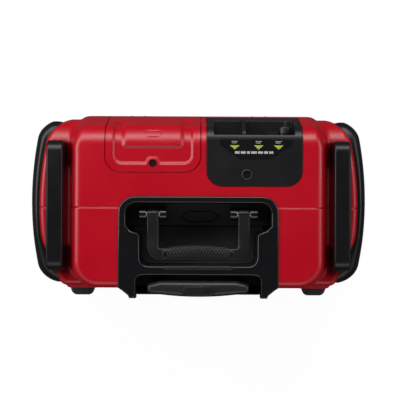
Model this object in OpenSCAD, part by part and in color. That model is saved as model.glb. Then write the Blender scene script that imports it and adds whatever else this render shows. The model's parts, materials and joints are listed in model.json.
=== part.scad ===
// Wheeled jump starter pack: a two-part red housing with black end covers, a
// fold-flat carry handle, a telescopic trolley handle, two wheels and two feet.
// Millimetres. +Z is up, the control face looks along -Y, the trolley handle is
// at +Y. The origin is on the floor under the middle of the whole pack.

/* [Housing] */
// Half width of the red housing at the middle of its ends
side_x = 236; // [230:1:244]
// Front face, measured forward from the origin
front_y = 146; // [142:1:150]
// Rear face, measured back from the origin
rear_y = 112; // [110:1:114]
// Underside of the housing above the floor
base_z = 22; // [18:1:26]
// Top of the raised deck above the floor
deck_z = 400; // [394:1:410]
// Drop from the deck to the shoulders under the grab bars
shoulder_drop = 50; // [44:1:56]
// Half width of the flat part of the deck
deck_half = 170; // [164:1:174]
// Run of the slope from the deck down to each shoulder
deck_run = 20; // [14:1:22]
// Wall of the housing
wall = 4; // [3:0.5:5]
// Line where the front and rear housings meet
seam_y = -3; // [-6:1:-2]
// Radius of the bulge in plan at each end
bulge_r = 450; // [400:10:600]
// Radius of the front corners in plan
corner_r = 34; // [28:1:40]
// Radius of the brow, where the deck turns into the front slope
brow_r = 24; // [16:1:28]
// Distance from the front face back to the line where deck and slope would meet
brow_y = 29; // [26:1:34]
// Height of the slope under the brow
brow_h = 84; // [70:1:90]
// Radius along the side edges of the deck
deck_edge_r = 10; // [4:1:12]
// Radius along the rear edge of the deck
rear_edge_r = 8; // [4:1:10]

/* [End covers] */
// Gap that each end cover bridges outside the red housing
cover_depth = 17; // [15:1:20]
// Wall of an end cover
cover_wall = 3; // [2.5:0.5:4]
// Top of an end cover below the shoulder
cover_drop = 5; // [3:1:10]
// Number of louvres in each end cover
louvres = 7; // [4:1:9]

/* [Access door and charging panel] */
// Width of the access door
door_w = 137; // [125:1:140]
// Rear edge of the door, forward of the origin
door_rear = 54; // [50:1:60]
// Thickness of the door
door_t = 6; // [5:0.5:7]
// Width of the charging panel
panel_w = 137; // [130:1:140]
// Rear edge of the charging panel, forward of the origin
panel_rear = 34; // [30:1:40]
// Thickness of the charging panel
panel_t = 3; // [2.5:0.5:4]
// Height of the lower edge of door and panel below the deck
lid_drop = 78; // [70:1:80]
// Half of the strip between door and panel
strip_half = 4.2; // [4:0.1:5]
// Centre of that strip
strip_x = -7.2; // [-9:0.1:-6]
// Corner radius of door and panel
lid_r = 23; // [15:1:26]
// Gap round door, panel and other loose covers
gap = 0.8; // [0.5:0.1:1]
// Depth of the charging niche below the deck
niche_drop = 54; // [50:1:58]
// Wall of the charging niche, forward of the origin
niche_y = 108; // [104:1:110]

/* [Carry handle] */
// Half width over the arms of the carry handle
handle_half = 74; // [70:1:78]
// Width of each arm
arm_w = 17; // [14:1:18]
// Thickness of the arms
arm_t = 14; // [12:1:15]
// Pivot of the carry handle, back from the origin
pivot_y = 6; // [4:1:8]
// Rear edge of the carry handle, back from the pivot
handle_reach = 68; // [64:1:69]
// Depth of the grip, front to back
grip_d = 25; // [22:1:27]
// Thickness of the grip
grip_t = 22; // [18:1:24]
// Radius of the hinge pins
pin_r = 4; // [3:0.5:5]
// Depth of the handle well below the deck
well_drop = 62; // [56:1:66]
// Half width of the well
well_half = 104; // [102:1:108]
// Wall of the well
well_t = 3; // [2.5:0.5:4]
// Height of the rim of the well above the deck
rim_h = 3; // [2:0.5:4]

/* [Grab bars] */
// Middle of each grab bar, out from the centre
bar_x = 205.5; // [204:0.5:207]
// Width of a grab bar
bar_w = 23.5; // [20:0.5:25]
// Height of a grab bar above the shoulder
bar_h = 54; // [46:1:60]
// Thickness of a grab bar over the fingers
bar_t = 22; // [18:1:24]
// Length of a grab bar
bar_l = 190; // [170:1:192]
// Length of the foot at each end of a grab bar
bar_foot = 38; // [30:1:44]

/* [Trolley handle] */
// Half distance between the trolley tubes
tube_x = 56; // [50:1:60]
// Middle of the tubes, back from the origin
tube_y = 110; // [109:1:111]
// Outer radius of the fixed tubes
tube_r = 11; // [10.5:0.1:11.5]
// Wall of each tube
tube_t = 1.2; // [1:0.1:1.4]
// Clearance between one tube and the next
tube_gap = 0.3; // [0.2:0.05:0.4]
// Travel of each of the two sliding stages
stage_travel = 260; // [200:5:260]
// Half width of the trolley grip
trolley_half = 73; // [71:1:76]
// Height of the trolley grip
trolley_h = 30; // [26:1:34]
// Half width of the rear spine that holds the tubes
spine_half = 98; // [96:1:99]
// Depth of the spine behind the rear face
spine_d = 14; // [13:1:16]

/* [Wheels and feet] */
// Radius of a wheel
wheel_r = 62; // [58:1:64]
// Middle of a wheel, out from the centre
wheel_x = 203; // [201:1:204]
// Rearmost point of a wheel
wheel_rear = 150; // [148:1:152]
// Width of a tyre
tyre_w = 38; // [34:1:38]
// Thickness of a tyre
tyre_t = 14; // [10:1:18]
// Radius of an axle
axle_r = 5; // [4:0.5:6]
// Clearance between tyre and arch
arch_gap = 4; // [3:0.5:5]
// Radius of a foot where it meets the floor
foot_r = 17; // [14:1:20]

/* [Front panel] */
// Half width of the front panel
face_half = 140; // [136:1:146]
// Lower edge of the front panel above the floor
face_low = 60; // [54:1:64]
// Upper edge of the front panel above the floor
face_high = 262; // [258:1:264]
// Thickness of the front panel
face_t = 3; // [2.5:0.5:4]
// Depth of the front panel behind the front face
face_recess = 6; // [5:0.5:8]
// Bore radius of an accessory socket
acc_r = 10.6; // [10.5:0.05:10.8]
// Depth of an accessory socket
acc_l = 44; // [40:1:50]
// Radius of the selector knob
knob_r = 17; // [14:1:20]
// Radius of the power button
button_r = 12; // [9:1:14]

/* [Batteries and charger] */
// Length of one battery
batt_l = 194; // [180:1:194]
// Depth of one battery
batt_w = 130; // [120:1:132]
// Height of one battery
batt_h = 165; // [150:1:170]
// Wall of a battery case
batt_wall = 3; // [2:0.5:4]
// Side of the fan
fan_w = 60; // [50:1:62]
// Thickness of the fan
fan_t = 20; // [15:1:25]

/* [Hidden] */
$fn = 48;

red = [0.72, 0.05, 0.1];
black = [0.12, 0.12, 0.13];
rubber = [0.08, 0.08, 0.08];
steel = [0.7, 0.71, 0.73];
brassy = [0.8, 0.65, 0.3];
grey = [0.35, 0.36, 0.38];
far = 400;                       // reach of the cutting blocks, past every face
touch = 0.3;                     // clearance of a piece from the seat it is trapped in
slip = 0.05;                     // radial clearance of a running pin or shaft

shoulder_z = deck_z - shoulder_drop;
end_front = front_y - 4;         // front face beside the middle block
bulge_y = -8;                    // widest point of each end
front_half = deck_half + 2;      // half width of the proud middle of the front
chamfer_y = 46;                  // where the red ends start to draw in at the rear
chamfer_x = side_x - 34;         // and where they meet the rear face
cover_x = side_x + cover_depth;
cover_top = shoulder_z - cover_drop;
lid_z = deck_z - lid_drop;
door_lo = strip_x + strip_half;
door_hi = door_lo + door_w;
panel_hi = strip_x - strip_half;
panel_lo = panel_hi - panel_w;
wheel_y = wheel_rear - wheel_r;
arch_r = wheel_r + arch_gap;
arch_in = wheel_x - tyre_w / 2 - arch_gap + 1;
arch_out = wheel_x + tyre_w / 2 + arch_gap - 1;

// ---- helpers ----------------------------------------------------------------

// Low and high end of a stretch w long about c
function span(c, w) = [c - w / 2, c + w / 2];
// Points on an arc about c, from angle a0 to a1
function arc(c, r, a0, a1, n = 6) =
  [for (i = [0:n]) let (a = a0 + (a1 - a0) * i / n) c + r * [cos(a), sin(a)]];
// The same points on the other side of the Y axis, in reverse order
function flip(p) = [for (i = [len(p) - 1:-1:0]) [-p[i][0], p[i][1]]];
function whole(p) = concat(p, flip(p));

module block(x, y, z)
  translate([x[0], y[0], z[0]]) cube([x[1] - x[0], y[1] - y[0], z[1] - z[0]]);
module rod_x(x, y, z, r)
  translate([x[0], y, z]) rotate([0, 90, 0]) cylinder(r = r, h = x[1] - x[0]);
module rod_y(x, y, z, r)
  translate([x, y[0], z]) rotate([-90, 0, 0]) cylinder(r = r, h = y[1] - y[0]);
module rod_z(x, y, z, r)
  translate([x, y, z[0]]) cylinder(r = r, h = z[1] - z[0]);
// Extrusions of an outline drawn in (y, z), in (x, z) and in (x, y)
module along_x(x)
  translate([x[0], 0, 0]) rotate([90, 0, 90]) linear_extrude(x[1] - x[0]) children();
module along_y(y)
  translate([0, y[1], 0]) rotate([90, 0, 0]) linear_extrude(y[1] - y[0]) children();
module along_z(z)
  translate([0, 0, z[0]]) linear_extrude(z[1] - z[0]) children();
module pair() {
  children();
  mirror([1, 0, 0]) children();
}
// Rectangle with four round corners
module round_rect(x, y, r)
  polygon(concat(
    arc([x[1] - r, y[0] + r], r, -90, 0), arc([x[1] - r, y[1] - r], r, 0, 90),
    arc([x[0] + r, y[1] - r], r, 90, 180), arc([x[0] + r, y[0] + r], r, 180, 270)));

// ---- body form --------------------------------------------------------------

// Centre of the end bulge, and of a corner that runs into it
bulge_c = [side_x - bulge_r, bulge_y];
front_a = asin((corner_r - end_front - bulge_y) / (bulge_r - corner_r));
corner_c = bulge_c + (bulge_r - corner_r) * [cos(front_a), sin(front_a)];
chamfer_a = asin((chamfer_y - bulge_y) / bulge_r);

// Plan of the red housing, from the middle of the front round +X to the rear
function body_half() = concat(
  [[front_half, -front_y], [front_half + 8, -end_front]],
  arc(corner_c, corner_r, -90, front_a),
  arc(bulge_c, bulge_r, front_a, chamfer_a),
  [[chamfer_x, rear_y]]);

module body_plan(inset)
  offset(delta = -inset) polygon(whole(body_half()));

// Plan of the raised deck, with its rear corners drawn in
deck_r = 38;
deck_foot = deck_half + deck_run;
module deck_plan(inset)
  offset(delta = -inset) polygon(whole(concat(
    [[deck_foot, -front_y]], arc([deck_foot - deck_r, rear_y - deck_r], deck_r, 0, 90))));

// Cross-section of the deck seen from the front, its slopes carried down into the body
deck_root = 24;
deck_a = atan2(shoulder_drop, deck_run);
module deck_section(inset)
  offset(delta = -inset) polygon(whole(concat(
    [[deck_foot + deck_run * deck_root / shoulder_drop, shoulder_z - deck_root]],
    arc([deck_half - deck_edge_r * tan(deck_a / 2), deck_z - deck_edge_r], deck_edge_r, 90 - deck_a, 90))));

// Profile seen from the side: the deck, the brow, the slope and the upright front
face_margin = 8;                 // upright front above the front panel
brow_p = [brow_y - front_y, deck_z];
slope_p = [5 - front_y, deck_z - brow_h];
brow_a = atan2(brow_p[1] - slope_p[1], brow_p[0] - slope_p[0]);
brow_c = brow_p + [brow_r * tan(brow_a / 2), -brow_r];
module side_profile(inset)
  offset(delta = -inset) polygon(concat(
    [[-front_y + 6, base_z], [-front_y, base_z + 10], [-front_y, face_high + face_margin], slope_p],
    arc(brow_c, brow_r, 90 + brow_a, 90, 9),
    arc([rear_y - rear_edge_r, deck_z - rear_edge_r], rear_edge_r, 90, 0),
    [[rear_y, base_z + 10], [rear_y - 6, base_z]]));

// The whole body drawn in by inset on every side
module body_form(inset)
  intersection() {
    union() {
      along_z([base_z, shoulder_z - inset]) body_plan(inset);
      intersection() {
        along_z([shoulder_z - 2 * inset - 2, deck_z]) deck_plan(inset);
        along_y([-far, far]) deck_section(inset);
      }
    }
    along_x([-far, far]) side_profile(inset);
  }

module skin(outer, inner)
  difference() {
    body_form(outer);
    body_form(inner);
  }

// Prism over a lid that wraps from the deck down the front slope
module lid_prism(lo, hi, rear, grow)
  along_z([lid_z - grow, deck_z + rim_h])
    polygon(concat(
      [[lo - grow, -far], [hi + grow, -far]],
      arc([hi - lid_r, -rear - lid_r], lid_r + grow, 0, 90),
      arc([lo + lid_r, -rear - lid_r], lid_r + grow, 90, 180)));

module door_prism(grow) lid_prism(door_lo, door_hi, door_rear, grow);
module panel_prism(grow) lid_prism(panel_lo, panel_hi, panel_rear, grow);

// ---- handle well outlines ----------------------------------------------------

well_front = -10;                // front edge of the well
step_y = 23;                     // where the well starts to narrow
neck_half = well_half - 20;      // half width of its narrow rear part
well_rear = 80;                  // front face of the bar between well and trolley notch
notch_half = trolley_half + 16;
notch_y = 93;
notch_drop = 60;
spine_rear = rear_y + spine_d;
rim_half = well_half + 10.5;

// Opening of the well, front round +X to the rear
function well_half_plan() = concat(
  arc([well_half - 15, well_front + 15], 15, -90, 0),
  [[well_half, step_y], [neck_half + 13, step_y + 7], [neck_half + 3, step_y + 10], [neck_half, step_y + 14]],
  arc([neck_half - 12, well_rear - 12], 12, 0, 90));
module well_plan(grow)
  offset(delta = grow) polygon(whole(well_half_plan()));

// Notch that the trolley grip rests in, open to the rear
module notch_plan(grow)
  offset(delta = grow) polygon(whole(concat(
    [[notch_half - 13, notch_y]], arc([notch_half - 9, notch_y + 9], 9, -60, 0),
    [[notch_half, spine_rear + 20]])));

// Outer edge of the rim: rounded in front, with a lug each side of the trolley grip
module rim_plan(grow)
  offset(delta = grow) polygon(whole(concat(
    arc([rim_half - 24, well_front - 9.5 + 24], 24, -90, 0),
    [[rim_half, rear_y - 1], [rim_half - 6, rear_y + 3], [spine_half + 2, spine_rear - 4],
     [spine_half, spine_rear], [notch_half, spine_rear]])));

// ---- housings ---------------------------------------------------------------

// Screw bosses that join the two housings, against the end walls under the covers
boss_r = 7;
boss_x = side_x - wall - 7;
boss_zs = [base_z + 128, base_z + 190, shoulder_z - 38];
screw_r = 2.5;
screw_grip = 20;                 // depth of a screw on each side of the seam
screw_head = 3.5;
module bosses(y)
  intersection() {
    body_form(wall / 2);
    pair() for (z = boss_zs) rod_y(boss_x, y, z, boss_r);
  }

// Threaded holes for the screws of the end covers
cover_screw_r = 2.5;
// Screw places, as distance back and height
cover_spots = [[-70, 70], [-70, cover_top - 45], [52, cover_top - 45]];
module cover_screw_holes()
  for (p = cover_spots) rod_x([side_x - 24, far], p[0], p[1], cover_screw_r);

// Blocks that carry the hinge pins of the door
hinge_r = 4.5;
slope_n = [slope_p[1] - brow_p[1], brow_p[0] - slope_p[0]] / norm(brow_p - slope_p);
hinge_z = lid_z + 5;
slope_t = (hinge_z - slope_p[1]) / (brow_p[1] - slope_p[1]);
hinge_c = slope_p + slope_t * (brow_p - slope_p) - slope_n * hinge_r;
cheek_w = 6;
module cheeks()
  intersection() {
    body_form(wall / 2);
    for (x = [door_lo - gap - cheek_w, door_hi + gap])
      block([x, x + cheek_w], span(hinge_c[0], 18), span(hinge_c[1], 18));
  }

// Rim under the edge of a lid that carries it
ledge_w = 5;
ledge_t = 3;
module ledge(t)
  difference() {
    intersection() {
      skin(t + touch, t + touch + ledge_t);
      children(0);
    }
    children(1);
  }

// Pad that the fan is screwed to, and the hole it blows through
fan_y = -45;
fan_z = base_z + 240;
fan_x = side_x - wall - 6;
module fan_pad()
  intersection() {
    body_form(wall / 2);
    block([-far, -fan_x], span(fan_y, fan_w + 4), span(fan_z, fan_w + 4));
  }

// Frame behind the front panel
face_y = -front_y + face_recess;
module face_frame(inset, y)
  along_y(y) round_rect([-face_half + inset, face_half - inset], [face_low + inset, face_high - inset], 10);

foot_x = deck_half + 20;
foot_y = -front_y + 36;

module front_housing()
  color(red) difference() {
    union() {
      difference() {
        skin(0, wall);
        block([-far, far], [seam_y, far], [-far, far + deck_z]);
        door_prism(gap);
        panel_prism(gap);
        face_frame(-gap, [-far, -front_y + wall + 1]);
      }
      bosses([seam_y - 26, seam_y]);
      cheeks();
      fan_pad();
      ledge(door_t) {
        door_prism(gap + ledge_w);
        door_prism(-ledge_w);
      }
      ledge(panel_t) {
        panel_prism(gap + 2);
        panel_prism(-ledge_w);
      }
      block(span(panel_screw_p[0], 14), [panel_screw_p[1] - 7, -panel_rear - 1], [boss_low - ledge_t, boss_low]);
      block(span(panel_screw_p[0], 14), [-panel_rear - ledge_w, -panel_rear - 1],
            [boss_low - ledge_t, deck_z - panel_t - 1]);
      difference() {
        face_frame(-gap - wall, [-front_y + 1, face_y + face_t + ledge_t]);
        face_frame(-gap, [-far, face_y + face_t]);
        face_frame(ledge_w, [-far, far]);
      }
    }
    along_z([deck_z - wall - 12, far + deck_z]) well_plan(well_t + gap);
    rod_x([door_lo - gap - touch, door_hi + gap + touch], hinge_c[0], hinge_c[1], hinge_r + gap);
    rod_x([door_lo - gap - 4, door_hi + gap + 4], hinge_c[0], hinge_c[1], door_pin_r);
    rod_x([-far, -fan_x + 1], fan_y, fan_z, fan_w / 2 - 3);
    pair() for (z = boss_zs) rod_y(boss_x, [seam_y - screw_grip, seam_y + 1], z, screw_r);
    rod_z(panel_screw_p[0], panel_screw_p[1], [boss_low - ledge_t - 1, boss_low + 1], panel_screw_r);
    pair() cover_screw_holes();
    pair() rod_z(foot_x, foot_y, [base_z - 1, base_z + wall + 1], foot_stem_r);
    pair() rod_z(bar_x, bar_front + bar_foot / 2, [shoulder_z - wall - 1, shoulder_z + 1], bar_screw_r + slip);
  }

// Wheel arch: an open box with a half-round top, and a hood over the back of the wheel
module arch_outline(r, low)
  union() {
    translate([wheel_y, wheel_r]) circle(r = r);
    translate([wheel_y - r, low]) square([2 * r, wheel_r - low]);
  }
hood_y = wheel_rear - 15;
hood_z = wheel_r + wheel_r * 0.76;
module arch_body()
  intersection() {
    along_x([arch_in - wall, arch_out + wall]) arch_outline(arch_r + wall, base_z);
    union() {
      block([-far, far], [-far, rear_y], [base_z, far]);
      block([-far, far], [-far, hood_y], [hood_z, far]);
    }
  }
module arch_space()
  along_x([arch_in, arch_out]) arch_outline(arch_r, -wheel_r);

channel_half = spine_half - 3;
channel_y = notch_y + well_t;
// Walls of the channel that takes the trolley tubes
module channel_wall()
  block([-channel_half - wall, channel_half + wall], [channel_y - wall, rear_y - 1], [base_z + 1, deck_z - 1]);
module channel_space()
  block([-channel_half, channel_half], [channel_y, far], [base_z + wall, deck_z + far]);

module rear_housing()
  color(red) difference() {
    union() {
      difference() {
        skin(0, wall);
        block([-far, far], [-far, seam_y], [-far, far + deck_z]);
      }
      bosses([seam_y, chamfer_y + 30]);
      intersection() {
        body_form(wall / 2);
        channel_wall();
      }
      pair() arch_body();
    }
    channel_space();
    pair() arch_space();
    pair() rod_x([arch_in - wall - 1, arch_out + wall + 1], wheel_y, wheel_r, axle_r);
    along_z([deck_z - wall - 12, far + deck_z]) well_plan(well_t + gap);
    along_z([deck_z - notch_drop - well_t - gap, far + deck_z]) notch_plan(well_t + gap);
    pair() for (z = boss_zs) {
      rod_y(boss_x, [seam_y - 1, far], z, screw_r + 0.2);
      rod_y(boss_x, [seam_y + screw_grip, far], z, screw_r * 2);
    }
    pair() cover_screw_holes();
    pair() rod_z(bar_x, bar_rear - bar_foot / 2, [shoulder_z - wall - 1, shoulder_z + 1], bar_screw_r + slip);
  }

module housing_screws()
  color(steel) pair() for (z = boss_zs) {
    rod_y(boss_x, [seam_y + 1 - screw_grip, seam_y + screw_grip], z, screw_r);
    rod_y(boss_x, [seam_y + screw_grip, seam_y + screw_grip + screw_head], z, screw_r * 1.8);
  }

// ---- end covers -------------------------------------------------------------

cover_r = 38;
cover_c = [cover_x - bulge_r, bulge_y];
cover_fa = asin((cover_r - end_front - bulge_y) / (bulge_r - cover_r));
cover_ra = asin((rear_y - cover_r - bulge_y) / (bulge_r - cover_r));
module cover_plan(inset)
  offset(delta = -inset) polygon(whole(concat(
    arc(cover_c + (bulge_r - cover_r) * [cos(cover_fa), sin(cover_fa)], cover_r, -90, cover_fa),
    arc(cover_c, bulge_r, cover_fa, cover_ra),
    arc(cover_c + (bulge_r - cover_r) * [cos(cover_ra), sin(cover_ra)], cover_r, cover_ra, 90))));
// Top edge of a cover, rolled over
roll_x = 16;
roll_z = 52;
module cover_section(inset)
  offset(delta = -inset) polygon(whole([
    [cover_x, base_z + 4], [cover_x, cover_top - roll_z], [cover_x - roll_x * 0.12, cover_top - roll_z * 0.6],
    [cover_x - roll_x * 0.45, cover_top - roll_z * 0.22], [cover_x - roll_x, cover_top]]));
module cover_form(inset)
  intersection() {
    along_z([base_z + 4 + inset, cover_top - inset]) cover_plan(inset);
    along_y([-far, far]) cover_section(inset);
    along_x([-far, far]) offset(delta = -inset) polygon([
      [-end_front, base_z + 4], [rear_y, base_z + 4], [rear_y, cover_top - roll_z / 2], [rear_y - 8, cover_top],
      [-end_front + 14, cover_top], [-end_front, cover_top - roll_z]]);
  }
cover_edge = chamfer_x + 2;      // where a cover starts, out from the centre

cover_boss_r = 7;

louvre_y = -76;
louvre_l = 104;
louvre_h = 5;
louvre_step = 13;
louvre_z = base_z + 186;

module end_cover()
  color(black) difference() {
    union() {
      difference() {
        cover_form(0);
        cover_form(cover_wall);
      }
      intersection() {
        cover_form(cover_wall / 2);
        for (p = cover_spots) rod_x([side_x - 10, cover_x], p[0], p[1], cover_boss_r);
      }
    }
    along_z([base_z - 1, deck_z]) body_plan(-touch);
    block([-far, cover_edge], [-far, far], [-far, far + deck_z]);
    block([-far, arch_out + wall + touch], [wheel_y - arch_r - wall - touch, far],
          [-far, wheel_r + arch_r + wall + touch]);
    for (i = [0:louvres - 1])
      block([side_x - 10, far], [louvre_y, louvre_y + louvre_l], span(louvre_z + louvre_step * i, louvre_h));
    for (p = cover_spots) {
      rod_x([side_x - 20, far], p[0], p[1], cover_screw_r);
      rod_x([cover_x - 5, far], p[0], p[1], cover_screw_r * 2);
    }
  }
module left_end_cover() end_cover();
module right_end_cover() mirror([1, 0, 0]) end_cover();
module cover_screws()
  color(steel) pair() for (p = cover_spots) {
    rod_x([side_x - 9, cover_x - 5], p[0], p[1], cover_screw_r);
    rod_x([cover_x - 5, cover_x - 2], p[0], p[1], cover_screw_r * 1.9);
  }

// ---- access door ------------------------------------------------------------

door_mid = (door_lo + door_hi) / 2;
door_pin_r = 2;
door_pin_in = 10;                // length of a hinge pin inside the door
recess_d = 2.5;
recess_edge = 12;
pad_rear = -92;                  // rear edge of the finger pad
pad_half = 40;
door_screw_y = -door_rear - 12.5;
door_boss_r = 9;
pad_corner = 7;                  // corners of the finger pad, cut off straight
door_screw_r = 2.5;
door_screw_tip = 9;              // length of the screw below the door
ledge_under = deck_z - door_t - touch - ledge_t;

module access_door()
  color(red) difference() {
    union() {
      difference() {
        intersection() {
          skin(0, door_t);
          door_prism(0);
          block([-far, far], [-far, far], [hinge_c[1], far + deck_z]);
        }
        difference() {
          intersection() {
            skin(-1, recess_d);
            lid_prism(door_lo + recess_edge, door_hi - recess_edge, door_rear + recess_edge, 0);
            block([-far, far], [-far, far], [lid_z + 24, far + deck_z]);
          }
          along_z([-far, far + deck_z]) translate([door_mid, 0]) polygon([
            [-pad_half, -far], [pad_half, -far], [pad_half, pad_rear - pad_corner],
            [pad_half - pad_corner, pad_rear],
            [pad_corner - pad_half, pad_rear], [-pad_half, pad_rear - pad_corner]]);
        }
      }
      rod_x([door_lo, door_hi], hinge_c[0], hinge_c[1], hinge_r - 0.1);
      rod_z(door_mid, door_screw_y, [deck_z - door_t, deck_z - 0.5], door_boss_r);
    }
    rod_x([door_lo - 1, door_lo + door_pin_in + touch], hinge_c[0], hinge_c[1], door_pin_r + slip);
    rod_x([door_hi - door_pin_in - touch, door_hi + 1], hinge_c[0], hinge_c[1], door_pin_r + slip);
    rod_z(door_mid, door_screw_y, [-far, far + deck_z], door_screw_r + slip);
    rod_z(door_mid, door_screw_y, [deck_z - door_t + 2, far + deck_z], door_screw_r * 2.2);
  }

module door_screw()
  color(steel) {
    rod_z(door_mid, door_screw_y, [deck_z - door_t - door_screw_tip, deck_z - door_t + 2.5], door_screw_r);
    rod_z(door_mid, door_screw_y, [deck_z - door_t + 2, deck_z - door_t + 4.5], door_screw_r * 2);
  }

module door_pins()
  color(steel) {
    rod_x([door_lo - gap - 4, door_lo + door_pin_in], hinge_c[0], hinge_c[1], door_pin_r);
    rod_x([door_hi - door_pin_in, door_hi + gap + 4], hinge_c[0], hinge_c[1], door_pin_r);
  }

// Tray under the door, hung from the underside of the ledge
tray_x = [door_lo + 8, door_hi - 8];
tray_y = [brow_c[0] - door_t, -door_rear - 7];
tray_z = deck_z - 72;
tray_t = 2.5;
module service_tray()
  color(black) difference() {
    union() {
      block(tray_x, tray_y, [tray_z, ledge_under]);
      block([door_lo + 1, door_hi - 1], [brow_c[0] + door_t, -door_rear - 1], [ledge_under - tray_t, ledge_under]);
    }
    difference() {
      block([tray_x[0] + tray_t, tray_x[1] - tray_t], [tray_y[0] + tray_t, tray_y[1] - tray_t],
            [tray_z + tray_t, far + deck_z]);
      rod_z(door_mid, door_screw_y, [ledge_under - 14, ledge_under], 6);
    }
    rod_z(door_mid, door_screw_y, [ledge_under - 12, far + deck_z], door_screw_r + slip);
  }

fuse_x = door_mid - 5;
fuse_y = tray_y[0] + tray_t + 13.5;
fuse_z = tray_z + tray_t;
module main_fuse()
  color(grey) difference() {
    union() {
      block(span(fuse_x, 76), span(fuse_y, 24), [fuse_z, fuse_z + 12]);
      block(span(fuse_x, 26), span(fuse_y, 18), [fuse_z + 11, fuse_z + 26]);
    }
    for (x = span(fuse_x, 54)) rod_z(x, fuse_y, [fuse_z + 2, far + deck_z], 4);
  }
module fuse_studs()
  color(brassy) for (x = span(fuse_x, 54)) {
    rod_z(x, fuse_y, [fuse_z + 2, fuse_z + 24], 4);
    rod_z(x, fuse_y, [fuse_z + 12, fuse_z + 18], 7);
  }

// ---- charging panel ---------------------------------------------------------

niche_x = [panel_lo + 11, panel_hi - 10.6];
niche_z = deck_z - niche_drop;
niche_rib = panel_hi - 53.6;     // middle of the rib between the sockets
sock_z = deck_z - 29;            // height of the charging sockets
inlet_x = panel_hi - 31.4;
inlet_w = 28;
inlet_h = 22;
inlet_t = 2;
dc_x = panel_hi - 95.3;
dc_w = 15;
round_x = panel_hi - 114;
round_r = 7;
cap_r = 9.5;
panel_screw_p = [panel_hi - 57.7, -panel_rear - 16.5];
panel_screw_r = 2;
boss_low = deck_z - 16;          // lower end of the boss round the panel screw
label_t = 0.5;

module charging_panel()
  color(black) difference() {
    intersection() {
      body_form(0);
      panel_prism(0);
      union() {
        skin(-1, panel_t);
        block([niche_x[0] - panel_t, niche_x[1] + panel_t], [-far, -niche_y + panel_t],
              [niche_z - panel_t, far + deck_z]);
        rod_z(panel_screw_p[0], panel_screw_p[1], [boss_low, deck_z], 7);
      }
    }
    difference() {
      block(niche_x, [-far, -niche_y], [niche_z, far + deck_z]);
      block(span(niche_rib, 5.7), [-niche_y - 14, far], [-far, deck_z - 3]);
    }
    block(span(inlet_x, inlet_w), [-far, far], span(sock_z, inlet_h));
    block(span(dc_x, dc_w - 4), [-far, far], span(sock_z, dc_w - 4));
    rod_y(round_x, [-far, far], sock_z, round_r);
    rod_z(panel_screw_p[0], panel_screw_p[1], [-far, far + deck_z], panel_screw_r);
    rod_z(panel_screw_p[0], panel_screw_p[1], [deck_z - 4, far + deck_z], 5.4);
  }

module panel_label()
  color(grey) along_z([deck_z, deck_z + label_t]) polygon([
    [panel_hi - 19, -niche_y + 7], [panel_hi - 19, -niche_y + 15], [panel_hi - 48, -niche_y + 35],
    [panel_hi - 91, -niche_y + 35], [panel_hi - 122, -niche_y + 15], [panel_hi - 122, -niche_y + 7]]);

module panel_screw()
  color(steel) {
    rod_z(panel_screw_p[0], panel_screw_p[1], [boss_low - ledge_t - 2, deck_z - 3.5], panel_screw_r);
    rod_z(panel_screw_p[0], panel_screw_p[1], [deck_z - 4, deck_z - 2], 5);
  }

inlet_d = 28;                    // depth of the inlet behind the panel
inlet_mouth = 18;                // depth of its recess
module ac_inlet()
  color(black) difference() {
    union() {
      block(span(inlet_x, inlet_w + 10), [-niche_y - 2.5, -niche_y], span(sock_z, inlet_h + 7));
      block(span(inlet_x, inlet_w), [-niche_y - 1, -niche_y + inlet_d], span(sock_z, inlet_h));
    }
    block(span(inlet_x, inlet_w - 2 * inlet_t), [-far, -niche_y - 2.5 + inlet_mouth],
          span(sock_z, inlet_h - 2 * inlet_t));
  }

module dc_socket()
  color(black) difference() {
    union() {
      block(span(dc_x, dc_w), [-niche_y - 7, -niche_y], span(sock_z, dc_w));
      block(span(dc_x, dc_w - 4), [-niche_y - 1, -niche_y + 12], span(sock_z, dc_w - 4));
    }
    rod_y(dc_x, [-far, -niche_y + 8], sock_z, 3);
  }

module round_socket()
  color(black) difference() {
    union() {
      rod_y(round_x, [-niche_y - 11, -niche_y + 14], sock_z, round_r);
      rod_y(round_x, [-niche_y - 2, -niche_y], sock_z, cap_r);
    }
    rod_y(round_x, [-far, -niche_y + 8], sock_z, round_r - 1.5);
  }

cap_len = 12.5;
module socket_cap()
  color(rubber) difference() {
    union() {
      rod_y(round_x, [-niche_y - 2 - cap_len, -niche_y - 2 - touch], sock_z, cap_r);
      block(span(round_x, 4), [-niche_y - 2 - cap_len - 8, -niche_y - 2 - cap_len + 1], span(sock_z, 10));
    }
    rod_y(round_x, [-niche_y - 11 - touch, far], sock_z, round_r + slip);
  }

// Every brass contact that faces a plug: three in the inlet, two in the lead socket
module socket_contacts()
  color(brassy) {
    for (p = [[0, 4], [-7, -2], [7, -2]])
      block(span(inlet_x + p[0], 2), [-niche_y - 2.5 + inlet_mouth - 12, -niche_y - 2.5 + inlet_mouth],
            span(sock_z + p[1], 5));
    for (x = span(0, 2 * pole_x))
      block(span(x, 5), [lead_back - 16, lead_back], span(lead_z, 20));
  }

// ---- handle well and carry handle -------------------------------------------

rim_z = deck_z + rim_h;
pivot_z = deck_z - 14;
ear_r = 8;
ear_t = 9.3;
ear_gap = 1.3;                   // side play between arm and ears
well_floor = deck_z - well_drop;
shelf_z = well_floor + 8;        // floor under the brackets, a step above the rest
lug_drop = 22;
hole_r = tube_r + 0.5;           // holes for the collars
ear_x = [handle_half - arm_w - ear_gap - ear_t, handle_half + ear_gap];

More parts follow.
